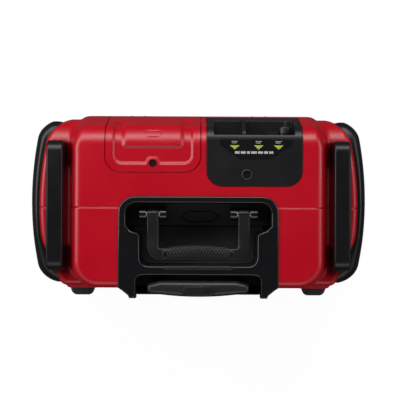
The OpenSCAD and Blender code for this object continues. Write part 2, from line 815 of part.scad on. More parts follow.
module handle_well()
  color(black) difference() {
    union() {
      difference() {
        union() {
          along_z([deck_z, rim_z]) rim_plan(0);
          along_z([well_floor - well_t, rim_z - 1]) well_plan(well_t);
          intersection() {
            along_z([deck_z - notch_drop - well_t, rim_z - 1]) notch_plan(well_t);
            block([-far, far], [-far, rear_y - touch], [-far, far + deck_z]);
          }
          intersection() {
            along_z([deck_z - lug_drop, rim_z - 1]) rim_plan(0);
            block([-far, far], [rear_y, far], [-far, far + deck_z]);
          }
        }
        along_z([well_floor, far + deck_z]) well_plan(0);
        along_z([deck_z - notch_drop, far + deck_z]) notch_plan(0);
      }
      intersection() {
        along_z([well_floor - 1, shelf_z]) well_plan(well_t / 2);
        block([-far, far], [-far, step_y], [-far, far + deck_z]);
      }
      pair() for (x = ear_x)
        along_x([x, x + ear_t]) {
          translate([pivot_y, pivot_z]) circle(r = ear_r);
          polygon([[pivot_y - ear_r + 1, pivot_z], [pivot_y + ear_r - 1, pivot_z],
                   [pivot_y + ear_r + 2, shelf_z - 1], [pivot_y - ear_r - 2, shelf_z - 1]]);
        }
    }
    pair() rod_x([ear_x[0] - 1, ear_x[1] + ear_t + 1], pivot_y, pivot_z, pin_r);
    pair() rod_z(tube_x, tube_y, [-far, far + deck_z], hole_r);
  }

module handle_pins()
  color(steel) pair() rod_x([ear_x[0], ear_x[1] + ear_t], pivot_y, pivot_z, pin_r);

grip_y = pivot_y + handle_reach - grip_d / 2;
core_r = 8;
grip_half = handle_half - arm_w - 5;
module carry_handle()
  color(black) difference() {
    union() {
      pair() {
        along_z(span(pivot_z, arm_t)) polygon(concat(
          [[handle_half - arm_w, pivot_y], [handle_half, pivot_y]],
          arc([handle_half - 10, grip_y + grip_d / 2 - 11], 10, 0, 90),
          [[grip_half, grip_y + grip_d / 2 - 1], [grip_half, grip_y - grip_d / 2 + 1],
           [handle_half - arm_w, grip_y - grip_d / 2 - 4]]));
        rod_x([handle_half - arm_w, handle_half], pivot_y, pivot_z, arm_t / 2 + 0.5);
      }
      rod_x([-grip_half - 1, grip_half + 1], grip_y, pivot_z, core_r - 1.5);
    }
    pair() rod_x([handle_half - arm_w - 1, handle_half + 1], pivot_y, pivot_z, pin_r + slip);
  }

module handle_grip()
  color(rubber) difference() {
    along_x([-grip_half, grip_half])
      round_rect(span(grip_y, grip_d), span(pivot_z, grip_t), grip_t / 2 - 3);
    rod_x([-far, far], grip_y, pivot_z, core_r - 1.5);
  }

// ---- grab bars --------------------------------------------------------------

bar_mid = -6.5;
bar_front = bar_mid - bar_l / 2;
bar_rear = bar_mid + bar_l / 2;
bar_screw_r = 3;
bar_top = shoulder_z + bar_h;
module grab_bar()
  color(black) difference() {
    along_x(span(bar_x, bar_w)) difference() {
      polygon(concat(
        [[bar_front, shoulder_z], [bar_rear, shoulder_z]],
        arc([bar_rear - 18, bar_top - 16], 16, 0, 90),
        arc([bar_front + 18, bar_top - 16], 16, 90, 180)));
      polygon(concat(
        [[bar_front + bar_foot, shoulder_z - 1], [bar_rear - bar_foot, shoulder_z - 1]],
        arc([bar_rear - bar_foot - 8, bar_top - bar_t - 8], 8, 0, 90),
        arc([bar_front + bar_foot + 8, bar_top - bar_t - 8], 8, 90, 180)));
    }
    for (y = span(bar_mid, bar_l - bar_foot)) rod_z(bar_x, y, [shoulder_z - 1, shoulder_z + 16], bar_screw_r);
  }
module left_grab_bar() grab_bar();
module right_grab_bar() mirror([1, 0, 0]) grab_bar();
module bar_screws()
  color(steel) pair() for (y = span(bar_mid, bar_l - bar_foot)) {
    rod_z(bar_x, y, [shoulder_z - wall - 1, shoulder_z + 15], bar_screw_r);
    rod_z(bar_x, y, [shoulder_z - wall - 4, shoulder_z - wall], bar_screw_r * 2);
  }

// ---- trolley handle ---------------------------------------------------------

spine_t = 3;
spine_low = base_z + wall + 1;
spine_top = deck_z - notch_drop - well_t;
collar_h = 4;
mid_r = tube_r - tube_t - tube_gap;
inner_r = mid_r - tube_t - tube_gap;
grip_low = deck_z + 2 - trolley_h;
mid_top = spine_top + well_t + 2 * collar_h + touch;
tube_hold = 50;                  // length of a stage that stays in the next at full reach
tube_low = mid_top - collar_h - stage_travel - tube_hold;

// Cover over the tubes, let into the channel and lapping its edges
module spine_plan(inset, lip)
  polygon(whole([
    [channel_half - touch - inset, channel_y + touch], [channel_half - touch - inset, rear_y - lip],
    [spine_half - inset, rear_y - lip], [spine_half - inset, spine_rear - 8 - inset / 2],
    [spine_half - 7 - inset, spine_rear - inset]]));
module trolley_cover()
  color(black) difference() {
    union() {
      along_z([spine_low, spine_top]) spine_plan(0, 0);
      pair() block([notch_half + well_t + touch, spine_half - touch], [rear_y, spine_rear - 1],
                   [spine_top - 1, deck_z - lug_drop]);
    }
    along_z([spine_low + spine_t, far + deck_z]) spine_plan(spine_t, -spine_t);
    block([-far, far], [-far, channel_y + 8], [spine_low + spine_t, far]);
  }

module tube(r, z)
  difference() {
    rod_z(tube_x, tube_y, z, r);
    rod_z(tube_x, tube_y, [z[0] - 1, z[1] + 1], r - tube_t);
  }
module outer_tubes() color(steel) pair() tube(tube_r, [spine_low + spine_t, spine_top]);
module mid_tubes() color(steel) pair() tube(mid_r, [tube_low, mid_top - collar_h]);
module inner_tubes() color(steel) pair() tube(inner_r, [tube_low + 4, grip_low + 14]);
module outer_collars()
  color(black) pair() difference() {
    union() {
      rod_z(tube_x, tube_y, [spine_top, spine_top + well_t], hole_r);
      rod_z(tube_x, tube_y, [spine_top + well_t, spine_top + well_t + collar_h], hole_r + 2);
    }
    rod_z(tube_x, tube_y, [-far, far + deck_z], mid_r + tube_gap / 2);
  }
module mid_collars()
  color(black) pair() difference() {
    rod_z(tube_x, tube_y, [mid_top - collar_h, mid_top], hole_r + 1);
    rod_z(tube_x, tube_y, [-far, far + deck_z], inner_r + tube_gap / 2);
  }

trolley_y = [tube_y - 9, tube_y + 14.5];
thumb_half = 23;
thumb_y = [tube_y, tube_y + 11];
thumb_h = 12;
press = 4;
module trolley_plan()
  polygon(whole(concat(
    [[trolley_half - 12, trolley_y[0]], [trolley_half, trolley_y[0] + 5], [trolley_half, trolley_y[1] - 5],
     [trolley_half - 3, trolley_y[1] - 3], [trolley_half * 0.45, trolley_y[1] - 1],
     [trolley_half * 0.2, trolley_y[1]]])));
module thumb_plan(grow)
  offset(delta = grow) polygon(whole([
    [thumb_half - 6, thumb_y[0]], [thumb_half, (thumb_y[0] + thumb_y[1]) / 2], [thumb_half - 6, thumb_y[1]]]));
module trolley_grip()
  color(black) difference() {
    along_z([grip_low, grip_low + trolley_h]) trolley_plan();
    along_z([grip_low + trolley_h - thumb_h - press, far + deck_z]) thumb_plan(touch);
    pair() rod_z(tube_x, tube_y, [-far, grip_low + 14], inner_r);
  }
module trolley_button()
  color(grey) along_z([grip_low + trolley_h - thumb_h + touch, grip_low + trolley_h + 0.8]) thumb_plan(0);

// ---- wheels and feet --------------------------------------------------------

rim_r = wheel_r - tyre_t;
hub_r = 13;
spoke_holes = 6;
spoke_hole_r = 8;
module wheel()
  color(black) difference() {
    union() {
      rod_x(span(wheel_x, tyre_w - 6), wheel_y, wheel_r, rim_r);
      rod_x([arch_in + touch, arch_out - touch], wheel_y, wheel_r, hub_r);
    }
    for (x = [wheel_x - tyre_w / 2, wheel_x + tyre_w / 2 - 12]) difference() {
      rod_x([x, x + 12], wheel_y, wheel_r, rim_r - 5);
      rod_x([x - 1, x + 13], wheel_y, wheel_r, hub_r + 3);
    }
    for (i = [0:spoke_holes - 1]) let (a = 360 * i / spoke_holes)
      rod_x(span(wheel_x, tyre_w), wheel_y + (rim_r + hub_r) / 2 * cos(a),
            wheel_r + (rim_r + hub_r) / 2 * sin(a), spoke_hole_r);
    rod_x([0, far], wheel_y, wheel_r, axle_r + slip);
  }
tyre_edge_r = 9;                 // shoulder radius of a tyre
module tyre()
  color(rubber) translate([wheel_x, wheel_y, wheel_r]) rotate([0, 90, 0]) rotate_extrude($fn = 96)
    polygon(concat(
      [[rim_r, -tyre_w / 2 + 3], [rim_r + 4, -tyre_w / 2]],
      arc([wheel_r - tyre_edge_r, tyre_edge_r - tyre_w / 2], tyre_edge_r, -90, 0),
      arc([wheel_r - tyre_edge_r, tyre_w / 2 - tyre_edge_r], tyre_edge_r, 0, 90),
      [[rim_r + 4, tyre_w / 2], [rim_r, tyre_w / 2 - 3]]));
module left_wheel() wheel();
module left_tyre() tyre();
module right_wheel() mirror([1, 0, 0]) wheel();
module right_tyre() mirror([1, 0, 0]) tyre();
module axles()
  color(steel) pair() {
    rod_x([arch_in - wall - 1, arch_out + wall + 1], wheel_y, wheel_r, axle_r);
    rod_x([arch_in - wall - 4, arch_in - wall], wheel_y, wheel_r, axle_r * 1.5);
    rod_x([arch_out + wall, arch_out + wall + 3.5], wheel_y, wheel_r, axle_r * 1.5);
  }

foot_stem_r = 4;
module feet()
  color(rubber) pair() {
    translate([foot_x, foot_y, 0]) cylinder(r1 = foot_r, r2 = foot_r + 3, h = base_z);
    rod_z(foot_x, foot_y, [base_z - 1, base_z + wall + 2], foot_stem_r);
  }

// ---- front panel ------------------------------------------------------------

top_row = face_high - 40;
mid_row = face_high - 112;
low_row = face_low + 27;
item_x = 95;
display_half = 40;
display_h = 36;
lead_half = 50;
lead_h = 48;
lead_z = mid_row;
lead_front = face_y - 6;
lead_back = face_y + 22;
pole_x = 24;
pole_w = 40;                     // width of the mouth of one pole
lead_wall = 5;                   // wall above and below the mouths
lead_back_t = 3;
lead_lip = 5;                    // how far the socket laps the panel from inside
light_half = 105;
light_h = 22;
acc_flange = 18;
knob_stem_r = 5;

module front_panel()
  color(black) difference() {
    face_frame(0, [face_y, face_y + face_t]);
    block(span(0, 2 * display_half), [-far, far], span(top_row, display_h));
    block(span(0, 2 * lead_half), [-far, far], span(lead_z, lead_h));
    block(span(0, 2 * light_half), [-far, far], span(low_row, light_h));
    for (x = span(0, 2 * item_x)) rod_y(x, [-far, far], top_row, acc_r + 3.4);
    rod_y(-item_x, [-far, far], mid_row, button_r + touch);
    rod_y(item_x, [-far, far], mid_row, knob_stem_r + slip);
  }
module display_window()
  color(grey) {
    block(span(0, 2 * display_half), [face_y - 1, face_y + face_t], span(top_row, display_h));
    block(span(0, 2 * display_half + 6), [face_y + face_t, face_y + face_t + 8], span(top_row, display_h + 6));
  }
button_travel = 2.5;
module power_button()
  color(red) {
    rod_y(-item_x, [face_y - button_travel - 1.5, face_y + face_t + 1], mid_row, button_r);
    rod_y(-item_x, [face_y + face_t + touch, face_y + face_t + 3], mid_row, button_r + 2);
  }
module selector_knob()
  color(black) {
    rod_y(item_x, [face_y - 6, face_y - touch], mid_row, knob_r);
    block(span(item_x, 7), [face_y - 10, face_y - 5], span(mid_row, knob_r * 1.8));
    rod_y(item_x, [face_y - 1, face_y + face_t + 8], mid_row, knob_stem_r);
  }

lid_pivot_z = top_row + acc_flange + 4;
lid_pivot_y = face_y - 5.5;
lid_pin_r = 1.5;
lid_ear_x = 9;
lid_ear_t = 3;
module accessory_sockets()
  color(black) for (x = span(0, 2 * item_x)) {
    difference() {
      union() {
        rod_y(x, [face_y - 2.5, face_y], top_row, acc_flange);
        rod_y(x, [face_y - 1, face_y - 2.5 + acc_l + 3], top_row, acc_r + 3.4);
        for (s = [-1, 1]) {
          block(span(x + s * (lid_ear_x + lid_ear_t / 2), lid_ear_t), [face_y - 2.5, face_y],
                [top_row + acc_flange / 2, lid_pivot_z + 3]);
          block(span(x + s * (lid_ear_x + lid_ear_t / 2), lid_ear_t), [lid_pivot_y - 3, face_y],
                [top_row + acc_flange - 1, lid_pivot_z + 3]);
        }
      }
      rod_y(x, [-far, face_y - 2.5 + acc_l], top_row, acc_r);
    }
    rod_x(span(x, 2 * lid_ear_x + 2), lid_pivot_y, lid_pivot_z, lid_pin_r);
  }
module socket_lid(x)
  color(rubber) difference() {
    union() {
      rod_y(x, [face_y - 8, face_y - 2.5 - touch], top_row, acc_flange);
      block(span(x, 2 * lid_ear_x - 2 * touch), [face_y - 8, face_y - 2.5 - touch],
            [top_row + acc_flange - 6, lid_pivot_z]);
      rod_x(span(x, 2 * lid_ear_x - 2 * touch), lid_pivot_y, lid_pivot_z, 2.6);
    }
    rod_x(span(x, 2 * lid_ear_x + 2), lid_pivot_y, lid_pivot_z, lid_pin_r + slip);
  }
module left_socket_lid() socket_lid(item_x);
module right_socket_lid() socket_lid(-item_x);

module lead_socket()
  color(grey) difference() {
    union() {
      block(span(0, 2 * lead_half), [lead_front, lead_back + lead_back_t], span(lead_z, lead_h));
      block(span(0, 2 * (lead_half + lead_lip)), [face_y + face_t, face_y + face_t + 4],
            span(lead_z, lead_h + 2 * lead_lip));
    }
    for (x = span(0, 2 * pole_x)) block(span(x, pole_w), [-far, lead_back], span(lead_z, lead_h - 2 * lead_wall));
  }
module work_light()
  color("white") {
    block(span(0, 2 * light_half), [face_y - 2, face_y + face_t], span(low_row, light_h));
    block(span(0, 2 * light_half + 6), [face_y + face_t, face_y + face_t + 6], span(low_row, light_h + 6));
  }

// ---- batteries, charger and fan ---------------------------------------------

floor_z = base_z + wall;
batt_y = channel_y - wall - 4 - batt_l / 2;
batt_x = batt_w / 2 + 2;
tray_wall = 3;
tray_half = batt_w + 2 + touch + tray_wall;
tray_lip = 20;
batt_low = floor_z + tray_wall;
batt_top = batt_low + batt_h;
post_r = 6;
post_h = 12;
post_y = [batt_y - batt_l / 2 + 20, batt_y + batt_l / 2 - 24];
post_x = [batt_x - 43, batt_x + 45];

module battery_tray()
  color(black) difference() {
    block([-tray_half, tray_half], span(batt_y, batt_l + 2 * (touch + tray_wall)), [floor_z, floor_z + tray_lip]);
    block(span(0, 2 * (tray_half - tray_wall)), span(batt_y, batt_l + 2 * touch), [batt_low, far]);
  }
cells = 6;
cell_l = (batt_l - 2 * batt_wall) / cells;
plate_top = 22;                  // space over the plates
module battery_cases()
  color(grey) pair() difference() {
    block(span(batt_x, batt_w), span(batt_y, batt_l), [batt_low, batt_top]);
    for (i = [0:cells - 1])
      block(span(batt_x, batt_w - 2 * batt_wall),
            span(batt_y - batt_l / 2 + batt_wall + cell_l * (i + 0.5), cell_l - 1),
            [batt_low + batt_wall, batt_top - plate_top]);
  }
module battery_plates()
  color(steel) pair() for (i = [0:cells - 1])
    block(span(batt_x, batt_w - 2 * batt_wall - 1),
          span(batt_y - batt_l / 2 + batt_wall + cell_l * (i + 0.5), cell_l - 2),
          [batt_low + batt_wall, batt_top - plate_top - 1]);
module battery_posts()
  color(brassy) pair() for (i = [0:1]) rod_z(post_x[i], post_y[i], [batt_top, batt_top + post_h], post_r);
strap_y = batt_y - 10;
strap_w = 22;
strap_t = 2.5;
module battery_strap()
  color(steel) difference() {
    block(span(0, 2 * (tray_half + strap_t)), span(strap_y, strap_w), [floor_z + 4, batt_top + strap_t]);
    block([-tray_half, tray_half], [-far, far], [-far, batt_top]);
  }

cable_r = 4;
cable_bend = 10;
// Quarter bend in the plane of two axes, from the end of one run to the start of the next
module bend() rotate_extrude(angle = 90) translate([cable_bend, 0]) circle(r = cable_r, $fn = 24);
cable_y = lead_back + lead_back_t + cable_r + touch;
cable_z = batt_top + post_h + cable_bend;
module power_cables()
  color(rubber) {
    pair() {
      // from the lead socket up, back and down on to the inner post
      rod_z(post_x[0], cable_y, [lead_z, cable_z - cable_bend + 5], cable_r);
      translate([post_x[0], cable_y + cable_bend, cable_z - cable_bend + 5]) rotate([90, 0, -90]) bend();
      rod_y(post_x[0], [cable_y + cable_bend, post_y[0] - cable_bend], cable_z + 5, cable_r);
      translate([post_x[0], post_y[0] - cable_bend, cable_z - cable_bend + 5]) rotate([90, 0, 90]) bend();
      rod_z(post_x[0], post_y[0], [batt_top + post_h, cable_z - cable_bend + 5], cable_r);
      block(span(post_x[0], 2 * cable_r), [lead_back + lead_back_t, cable_y], span(lead_z, 3 * cable_r));
      rod_z(post_x[1], post_y[1], [batt_top + post_h, cable_z - cable_bend + 5], cable_r);
      translate([post_x[1] - cable_bend, post_y[1], cable_z - cable_bend + 5]) rotate([90, 0, 0]) bend();
    }
    rod_x([cable_bend - post_x[1], post_x[1] - cable_bend], post_y[1], cable_z + 5, cable_r);
  }

board_x = -tray_half - 26;
board_y = [-front_y + 24, seam_y - 6];
board_h = 150;
board_t = 1.6;
module charger_board()
  color([0.1, 0.35, 0.2]) {
    block([board_x - board_t, board_x], board_y, [floor_z, floor_z + board_h]);
    block([board_x - 0.1, board_x + 16], [board_y[0] + 8, board_y[0] + 50], [floor_z + 10, floor_z + 48]);
    for (i = [0:3])
      rod_x([board_x - 0.1, board_x + 18], board_y[0] + 70 + 12 * (i % 2), floor_z + 70 + 22 * floor(i / 2), 5);
  }
fins = 8;
sink_t = 5;                      // base of the heat sink
fin_l = 22;
fin_t = 2;
sink_low = 30;                   // lower end of the heat sink above the floor of the housing
sink_h = 100;
sink_y = [board_y[0] + 14, board_y[1] - 14];
module heat_sink()
  color(steel) {
    block([board_x - board_t - sink_t, board_x - board_t], sink_y,
          [floor_z + sink_low, floor_z + sink_low + sink_h]);
    for (i = [0:fins - 1])
      block([board_x - board_t - sink_t - fin_l, board_x - board_t - sink_t + 1],
            span(sink_y[0] + fin_t + (sink_y[1] - sink_y[0] - 2 * fin_t) / (fins - 1) * i, fin_t),
            [floor_z + sink_low, floor_z + sink_low + sink_h]);
  }

fan_hub_r = 11;
fan_blades = 7;
fan_arm_t = 3;                   // thickness of the arms behind the rotor
fan_arm_w = 4;
fan_pin_r = 2;
module fan_frame()
  color(black) translate([-fan_x, fan_y, fan_z]) difference() {
    union() {
      difference() {
        block([0, fan_t], span(0, fan_w), span(0, fan_w));
        rod_x([-1, fan_t + 1], 0, 0, fan_w / 2 - 2);
      }
      rod_x([fan_t - fan_arm_t, fan_t], 0, 0, fan_hub_r);
      for (a = [45, 135]) rotate([a, 0, 0]) block([fan_t - fan_arm_t, fan_t], span(0, fan_w), span(0, fan_arm_w));
    }
    rod_x([-far, far], 0, 0, fan_pin_r + slip);
  }
module fan_rotor()
  color(grey) translate([-fan_x, fan_y, fan_z]) {
    rod_x([3, fan_t - fan_arm_t - touch], 0, 0, fan_hub_r);
    rod_x([fan_t - fan_arm_t - 1, fan_t], 0, 0, fan_pin_r);
    intersection() {
      rod_x([3, fan_t - fan_arm_t - touch], 0, 0, fan_w / 2 - 3);
      for (i = [0:fan_blades - 1]) rotate([360 / fan_blades * i, 0, 0])
        translate([fan_t / 2 - 1.5, fan_hub_r - 1, 0]) rotate([0, 50, 0]) block([-0.8, 0.8], [0, fan_w], [-9, 9]);
    }
  }

front_housing();
rear_housing();
housing_screws();
left_end_cover();
right_end_cover();
cover_screws();
access_door();
door_screw();
door_pins();
service_tray();
main_fuse();
fuse_studs();
charging_panel();
panel_label();
panel_screw();
ac_inlet();
socket_contacts();
dc_socket();
round_socket();
socket_cap();
handle_well();
handle_pins();
carry_handle();
handle_grip();
left_grab_bar();
right_grab_bar();
bar_screws();
trolley_cover();
outer_tubes();
outer_collars();
mid_tubes();
mid_collars();
inner_tubes();
trolley_grip();
trolley_button();
left_wheel();
left_tyre();
right_wheel();
right_tyre();
axles();
feet();
front_panel();
display_window();
power_button();
selector_knob();
accessory_sockets();
left_socket_lid();
right_socket_lid();
lead_socket();
power_cables();
work_light();
battery_tray();
battery_cases();
battery_plates();
battery_posts();
battery_strap();
charger_board();
heat_sink();
fan_frame();
fan_rotor();
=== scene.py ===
import json
import math

import bmesh
import bpy
import numpy as np
from mathutils import Matrix, Vector


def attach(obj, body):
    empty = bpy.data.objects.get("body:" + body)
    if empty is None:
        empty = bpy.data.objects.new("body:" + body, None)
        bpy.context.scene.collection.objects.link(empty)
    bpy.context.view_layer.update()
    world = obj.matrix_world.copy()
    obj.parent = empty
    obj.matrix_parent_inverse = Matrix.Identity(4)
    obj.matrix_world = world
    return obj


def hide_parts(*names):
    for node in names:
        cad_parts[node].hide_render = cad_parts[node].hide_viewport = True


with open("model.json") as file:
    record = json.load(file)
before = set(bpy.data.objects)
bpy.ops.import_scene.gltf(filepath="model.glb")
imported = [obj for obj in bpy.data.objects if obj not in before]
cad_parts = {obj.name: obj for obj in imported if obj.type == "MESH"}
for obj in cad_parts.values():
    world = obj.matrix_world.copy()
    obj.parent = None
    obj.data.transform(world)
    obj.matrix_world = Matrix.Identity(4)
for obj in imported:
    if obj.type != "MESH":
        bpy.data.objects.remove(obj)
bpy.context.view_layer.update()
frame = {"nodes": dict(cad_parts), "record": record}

# Looks of a wheeled jump starter pack. Sizes are in millimetres unless a note says otherwise,
# and mm turns them into Blender's metres. +Z is up, the control face looks along -Y.
mm = 0.001
slotOf = {part["node"]: part["material_slot"] for part in frame["record"]["subparts"]}
bodyOf = {node: body for body, nodes in frame["record"]["behaviour"]["bodies"].items() for node in nodes}


# Sets a node's inputs, by name or number, each to a value or to another node's output
def setInputs(tree, node, values):
    for label, value in values.items():
        socket = node.inputs[label.replace("_", " ") if isinstance(label, str) else label]
        if isinstance(value, bpy.types.NodeSocket):
            tree.links.new(value, socket)
        else:
            socket.default_value = value


# A new node, placed in rows of six in the order of making
def newNode(tree, kind, inputs=None, **values):
    node = tree.nodes.new("ShaderNode" + kind)
    node.location = (len(tree.nodes) % 6 * 220, len(tree.nodes) // 6 * -260)
    for key, value in values.items():
        setattr(node, key, value)
    setInputs(tree, node, inputs or {})
    return node


def mathNode(tree, operation, a, b, clamp=False):
    return newNode(tree, "Math", {0: a, 1: b}, operation=operation, use_clamp=clamp).outputs[0]


# Node group with its inputs' values, its outputs, and the Object coordinates inside it
def newGroup(name, inputs, outputs):
    group = bpy.data.node_groups.new(name, "ShaderNodeTree")
    for label, value in inputs.items():
        kind = "NodeSocketVector" if isinstance(value, tuple) else "NodeSocketFloat"
        group.interface.new_socket(name=label, in_out="INPUT", socket_type=kind).default_value = value
    for label in outputs:
        group.interface.new_socket(name=label, in_out="OUTPUT", socket_type="NodeSocketFloat")
    given, result = group.nodes.new("NodeGroupInput"), group.nodes.new("NodeGroupOutput")
    return group, given.outputs, result, newNode(group, "TexCoord").outputs["Object"]


# Texture scale, per metre, of a grain given in millimetres
def scaleOf(tree, grain):
    return mathNode(tree, "DIVIDE", 1 / mm, grain)


# Spark-eroded mould texture: fine pits over slow waves of tone, each from 0 to 1
def buildMouldGroup():
    group, given, result, place = newGroup("mouldTexture", {"Grain mm": 0.5, "Cloud mm": 60.0, "Pits": 0.5},
                                           ("Height", "Tone", "Cloud"))
    fineScale = scaleOf(group, given["Grain mm"])
    fine = newNode(group, "TexNoise", dict(Vector=place, Scale=fineScale, Detail=3.0)).outputs["Fac"]
    pits = newNode(group, "TexVoronoi", dict(Vector=place, Scale=fineScale), feature="SMOOTH_F1")
    cloud = newNode(group, "TexNoise", dict(Vector=place, Scale=scaleOf(group, given["Cloud mm"]), Detail=4.0,
                                            Roughness=0.6))
    slow = newNode(group, "MapRange", {"Value": cloud.outputs["Fac"], "From Min": 0.3, "From Max": 0.7}).outputs[0]
    weighted = mathNode(group, "MULTIPLY", pits.outputs["Distance"], given["Pits"])
    tone = mathNode(group, "ADD", mathNode(group, "MULTIPLY", slow, 0.7), mathNode(group, "MULTIPLY", fine, 0.3), True)
    setInputs(group, result, dict(Height=mathNode(group, "ADD", fine, weighted), Tone=tone, Cloud=slow))
    return group


# Hair scratches that run every way, as a mask from 0 to 1, thin and broken up by clouds
def buildScratchGroup():
    group, given, result, place = newGroup("hairScratches", {"Spacing mm": 30.0}, ("Mask",))
    warp = newNode(group, "TexNoise", dict(Vector=place, Scale=25.0))
    bent = newNode(group, "MixRGB", dict(Fac=0.04, Color1=place, Color2=warp.outputs["Color"]))
    cells = newNode(group, "TexVoronoi", dict(Vector=bent.outputs["Color"], Scale=scaleOf(group, given["Spacing mm"])),
                    feature="DISTANCE_TO_EDGE")
    cloud = newNode(group, "TexNoise", dict(Vector=place, Scale=18.0))
    thin = mathNode(group, "LESS_THAN", cells.outputs["Distance"], 0.006)
    broken = mathNode(group, "GREATER_THAN", cloud.outputs["Fac"], 0.55)
    setInputs(group, result, dict(Mask=mathNode(group, "MULTIPLY", thin, broken)))
    return group


# Grain drawn out along one axis, as on drawn tube or rolled bar, each from 0 to 1
def buildBrushGroup():
    group, given, result, place = newGroup("drawnGrain", {"Stretch": (1.0, 1.0, 0.02), "Grain mm": 0.4},
                                           ("Height", "Tone"))
    drawn = newNode(group, "VectorMath", {0: place, 1: given["Stretch"]}, operation="MULTIPLY").outputs[0]
    grain = newNode(group, "TexNoise", dict(Vector=drawn, Scale=scaleOf(group, given["Grain mm"]),
                                            Detail=4.0)).outputs["Fac"]
    cloud = newNode(group, "TexNoise", dict(Vector=place, Scale=12.0)).outputs["Fac"]
    setInputs(group, result, dict(Height=grain, Tone=mathNode(group, "MULTIPLY", grain, cloud)))
    return group


# Painted shade in the two hollows between the deck's flanks and the grab bars: 1 where the distance from
# the middle, the height and the place along the pack, in metres, are all inside their ranges
def buildPaintedShadeGroup():
    group, given, result, place = newGroup("paintedBarShade", {"Depth": 1.0}, ("Mask",))
    split = newNode(group, "SeparateXYZ", {0: place})
    mask = given["Depth"]
    for axis, start, end in (("X", 0.186, 0.192), ("X", 0.226, 0.216), ("Y", 0.108, 0.088), ("Z", 0.384, 0.366)):
        away = mathNode(group, "ABSOLUTE", split.outputs[axis], 0.0)
        ramp = newNode(group, "MapRange", {"Value": away, "From Min": start, "From Max": end},
                       interpolation_type="SMOOTHSTEP")
        mask = mathNode(group, "MULTIPLY", mask, ramp.outputs[0])
    setInputs(group, result, dict(Mask=mask))
    return group


mouldGroup = buildMouldGroup()
paintedShadeGroup = buildPaintedShadeGroup()
scratchGroup = buildScratchGroup()
brushGroup = buildBrushGroup()


def placeGroup(tree, group, **values):
    return newNode(tree, "Group", values, node_tree=group).outputs


def tint(colour, factor):
    return tuple(min(1.0, part * factor) for part in colour) + (1.0,)


def startMaterial(name):
    material = bpy.data.materials.new(name)
    material.use_nodes = True
    tree = material.node_tree
    return material, tree, tree.nodes["Principled BSDF"]


def addBump(tree, shader, height, strength, distance):
    bump = newNode(tree, "Bump", dict(Strength=strength, Distance=distance * mm, Height=height))
    tree.links.new(bump.outputs["Normal"], shader.inputs["Normal"])


def mixRange(tree, value, low, high):
    return newNode(tree, "MapRange", {"Value": value, "To Min": low, "To Max": high}).outputs[0]


# A mix node's colours are its inputs 6 and 7 and its output 2
def mixColours(tree, factor, first, second):
    return newNode(tree, "Mix", {0: factor, 6: first, 7: second}, data_type="RGBA").outputs[2]


# Moulded plastic or rubber: colour waves slowly, roughness follows it, fine pits as bump
def plasticMaterial(name, finish):
    material, tree, shader = startMaterial(name)
    colour, spread, rough, grain, cloud, pits, bump, extra = finish
    mould = placeGroup(tree, mouldGroup, Grain_mm=grain, Cloud_mm=cloud, Pits=pits)
    base = mixColours(tree, mould["Tone"], tint(colour, 1 - spread), tint(colour, 1 + spread))
    rough = mixRange(tree, mould["Cloud"], *rough)
    shine = extra.get("specular", 0.5)
    if "scratches" in extra:
        mask = placeGroup(tree, scratchGroup, Spacing_mm=extra["scratches"])["Mask"]
        base = mixColours(tree, mathNode(tree, "MULTIPLY", mask, 0.10), base, tint(colour, 1 + 6 * spread))
        rough = mathNode(tree, "ADD", rough, mathNode(tree, "MULTIPLY", mask, 0.08))
    # painted shade: beside the grab bars the colour goes almost black and the shine goes away, by the mask's strength
    if "hollow" in extra:
        mask = placeGroup(tree, paintedShadeGroup, Depth=extra["hollow"])["Mask"]
        base = mixColours(tree, mask, base, tint(colour, 0.05))
        shine = mixRange(tree, mask, shine, 0.0)
    setInputs(tree, shader, dict(
        Base_Color=base, Roughness=rough, IOR=1.46, Specular_IOR_Level=shine, Coat_Weight=extra.get("coat", 0.0),
        Coat_Roughness=extra.get("coatRough", 0.2), Sheen_Weight=extra.get("sheen", 0.0)))
    addBump(tree, shader, mould["Height"], bump, grain * 0.25)
    return material


# Plated, drawn or cast metal with grain along one axis
def metalMaterial(name, finish):
    material, tree, shader = startMaterial(name)
    colour, spread, rough, grain, stretch, bump = finish
    drawn = placeGroup(tree, brushGroup, Stretch=stretch, Grain_mm=grain)
    base = mixColours(tree, drawn["Tone"], tint(colour, 1 - spread), tint(colour, 1 + spread))
    setInputs(tree, shader, dict(Base_Color=base, Roughness=mixRange(tree, drawn["Height"], *rough), Metallic=1.0))
    addBump(tree, shader, drawn["Height"], bump, 0.05)
    return material


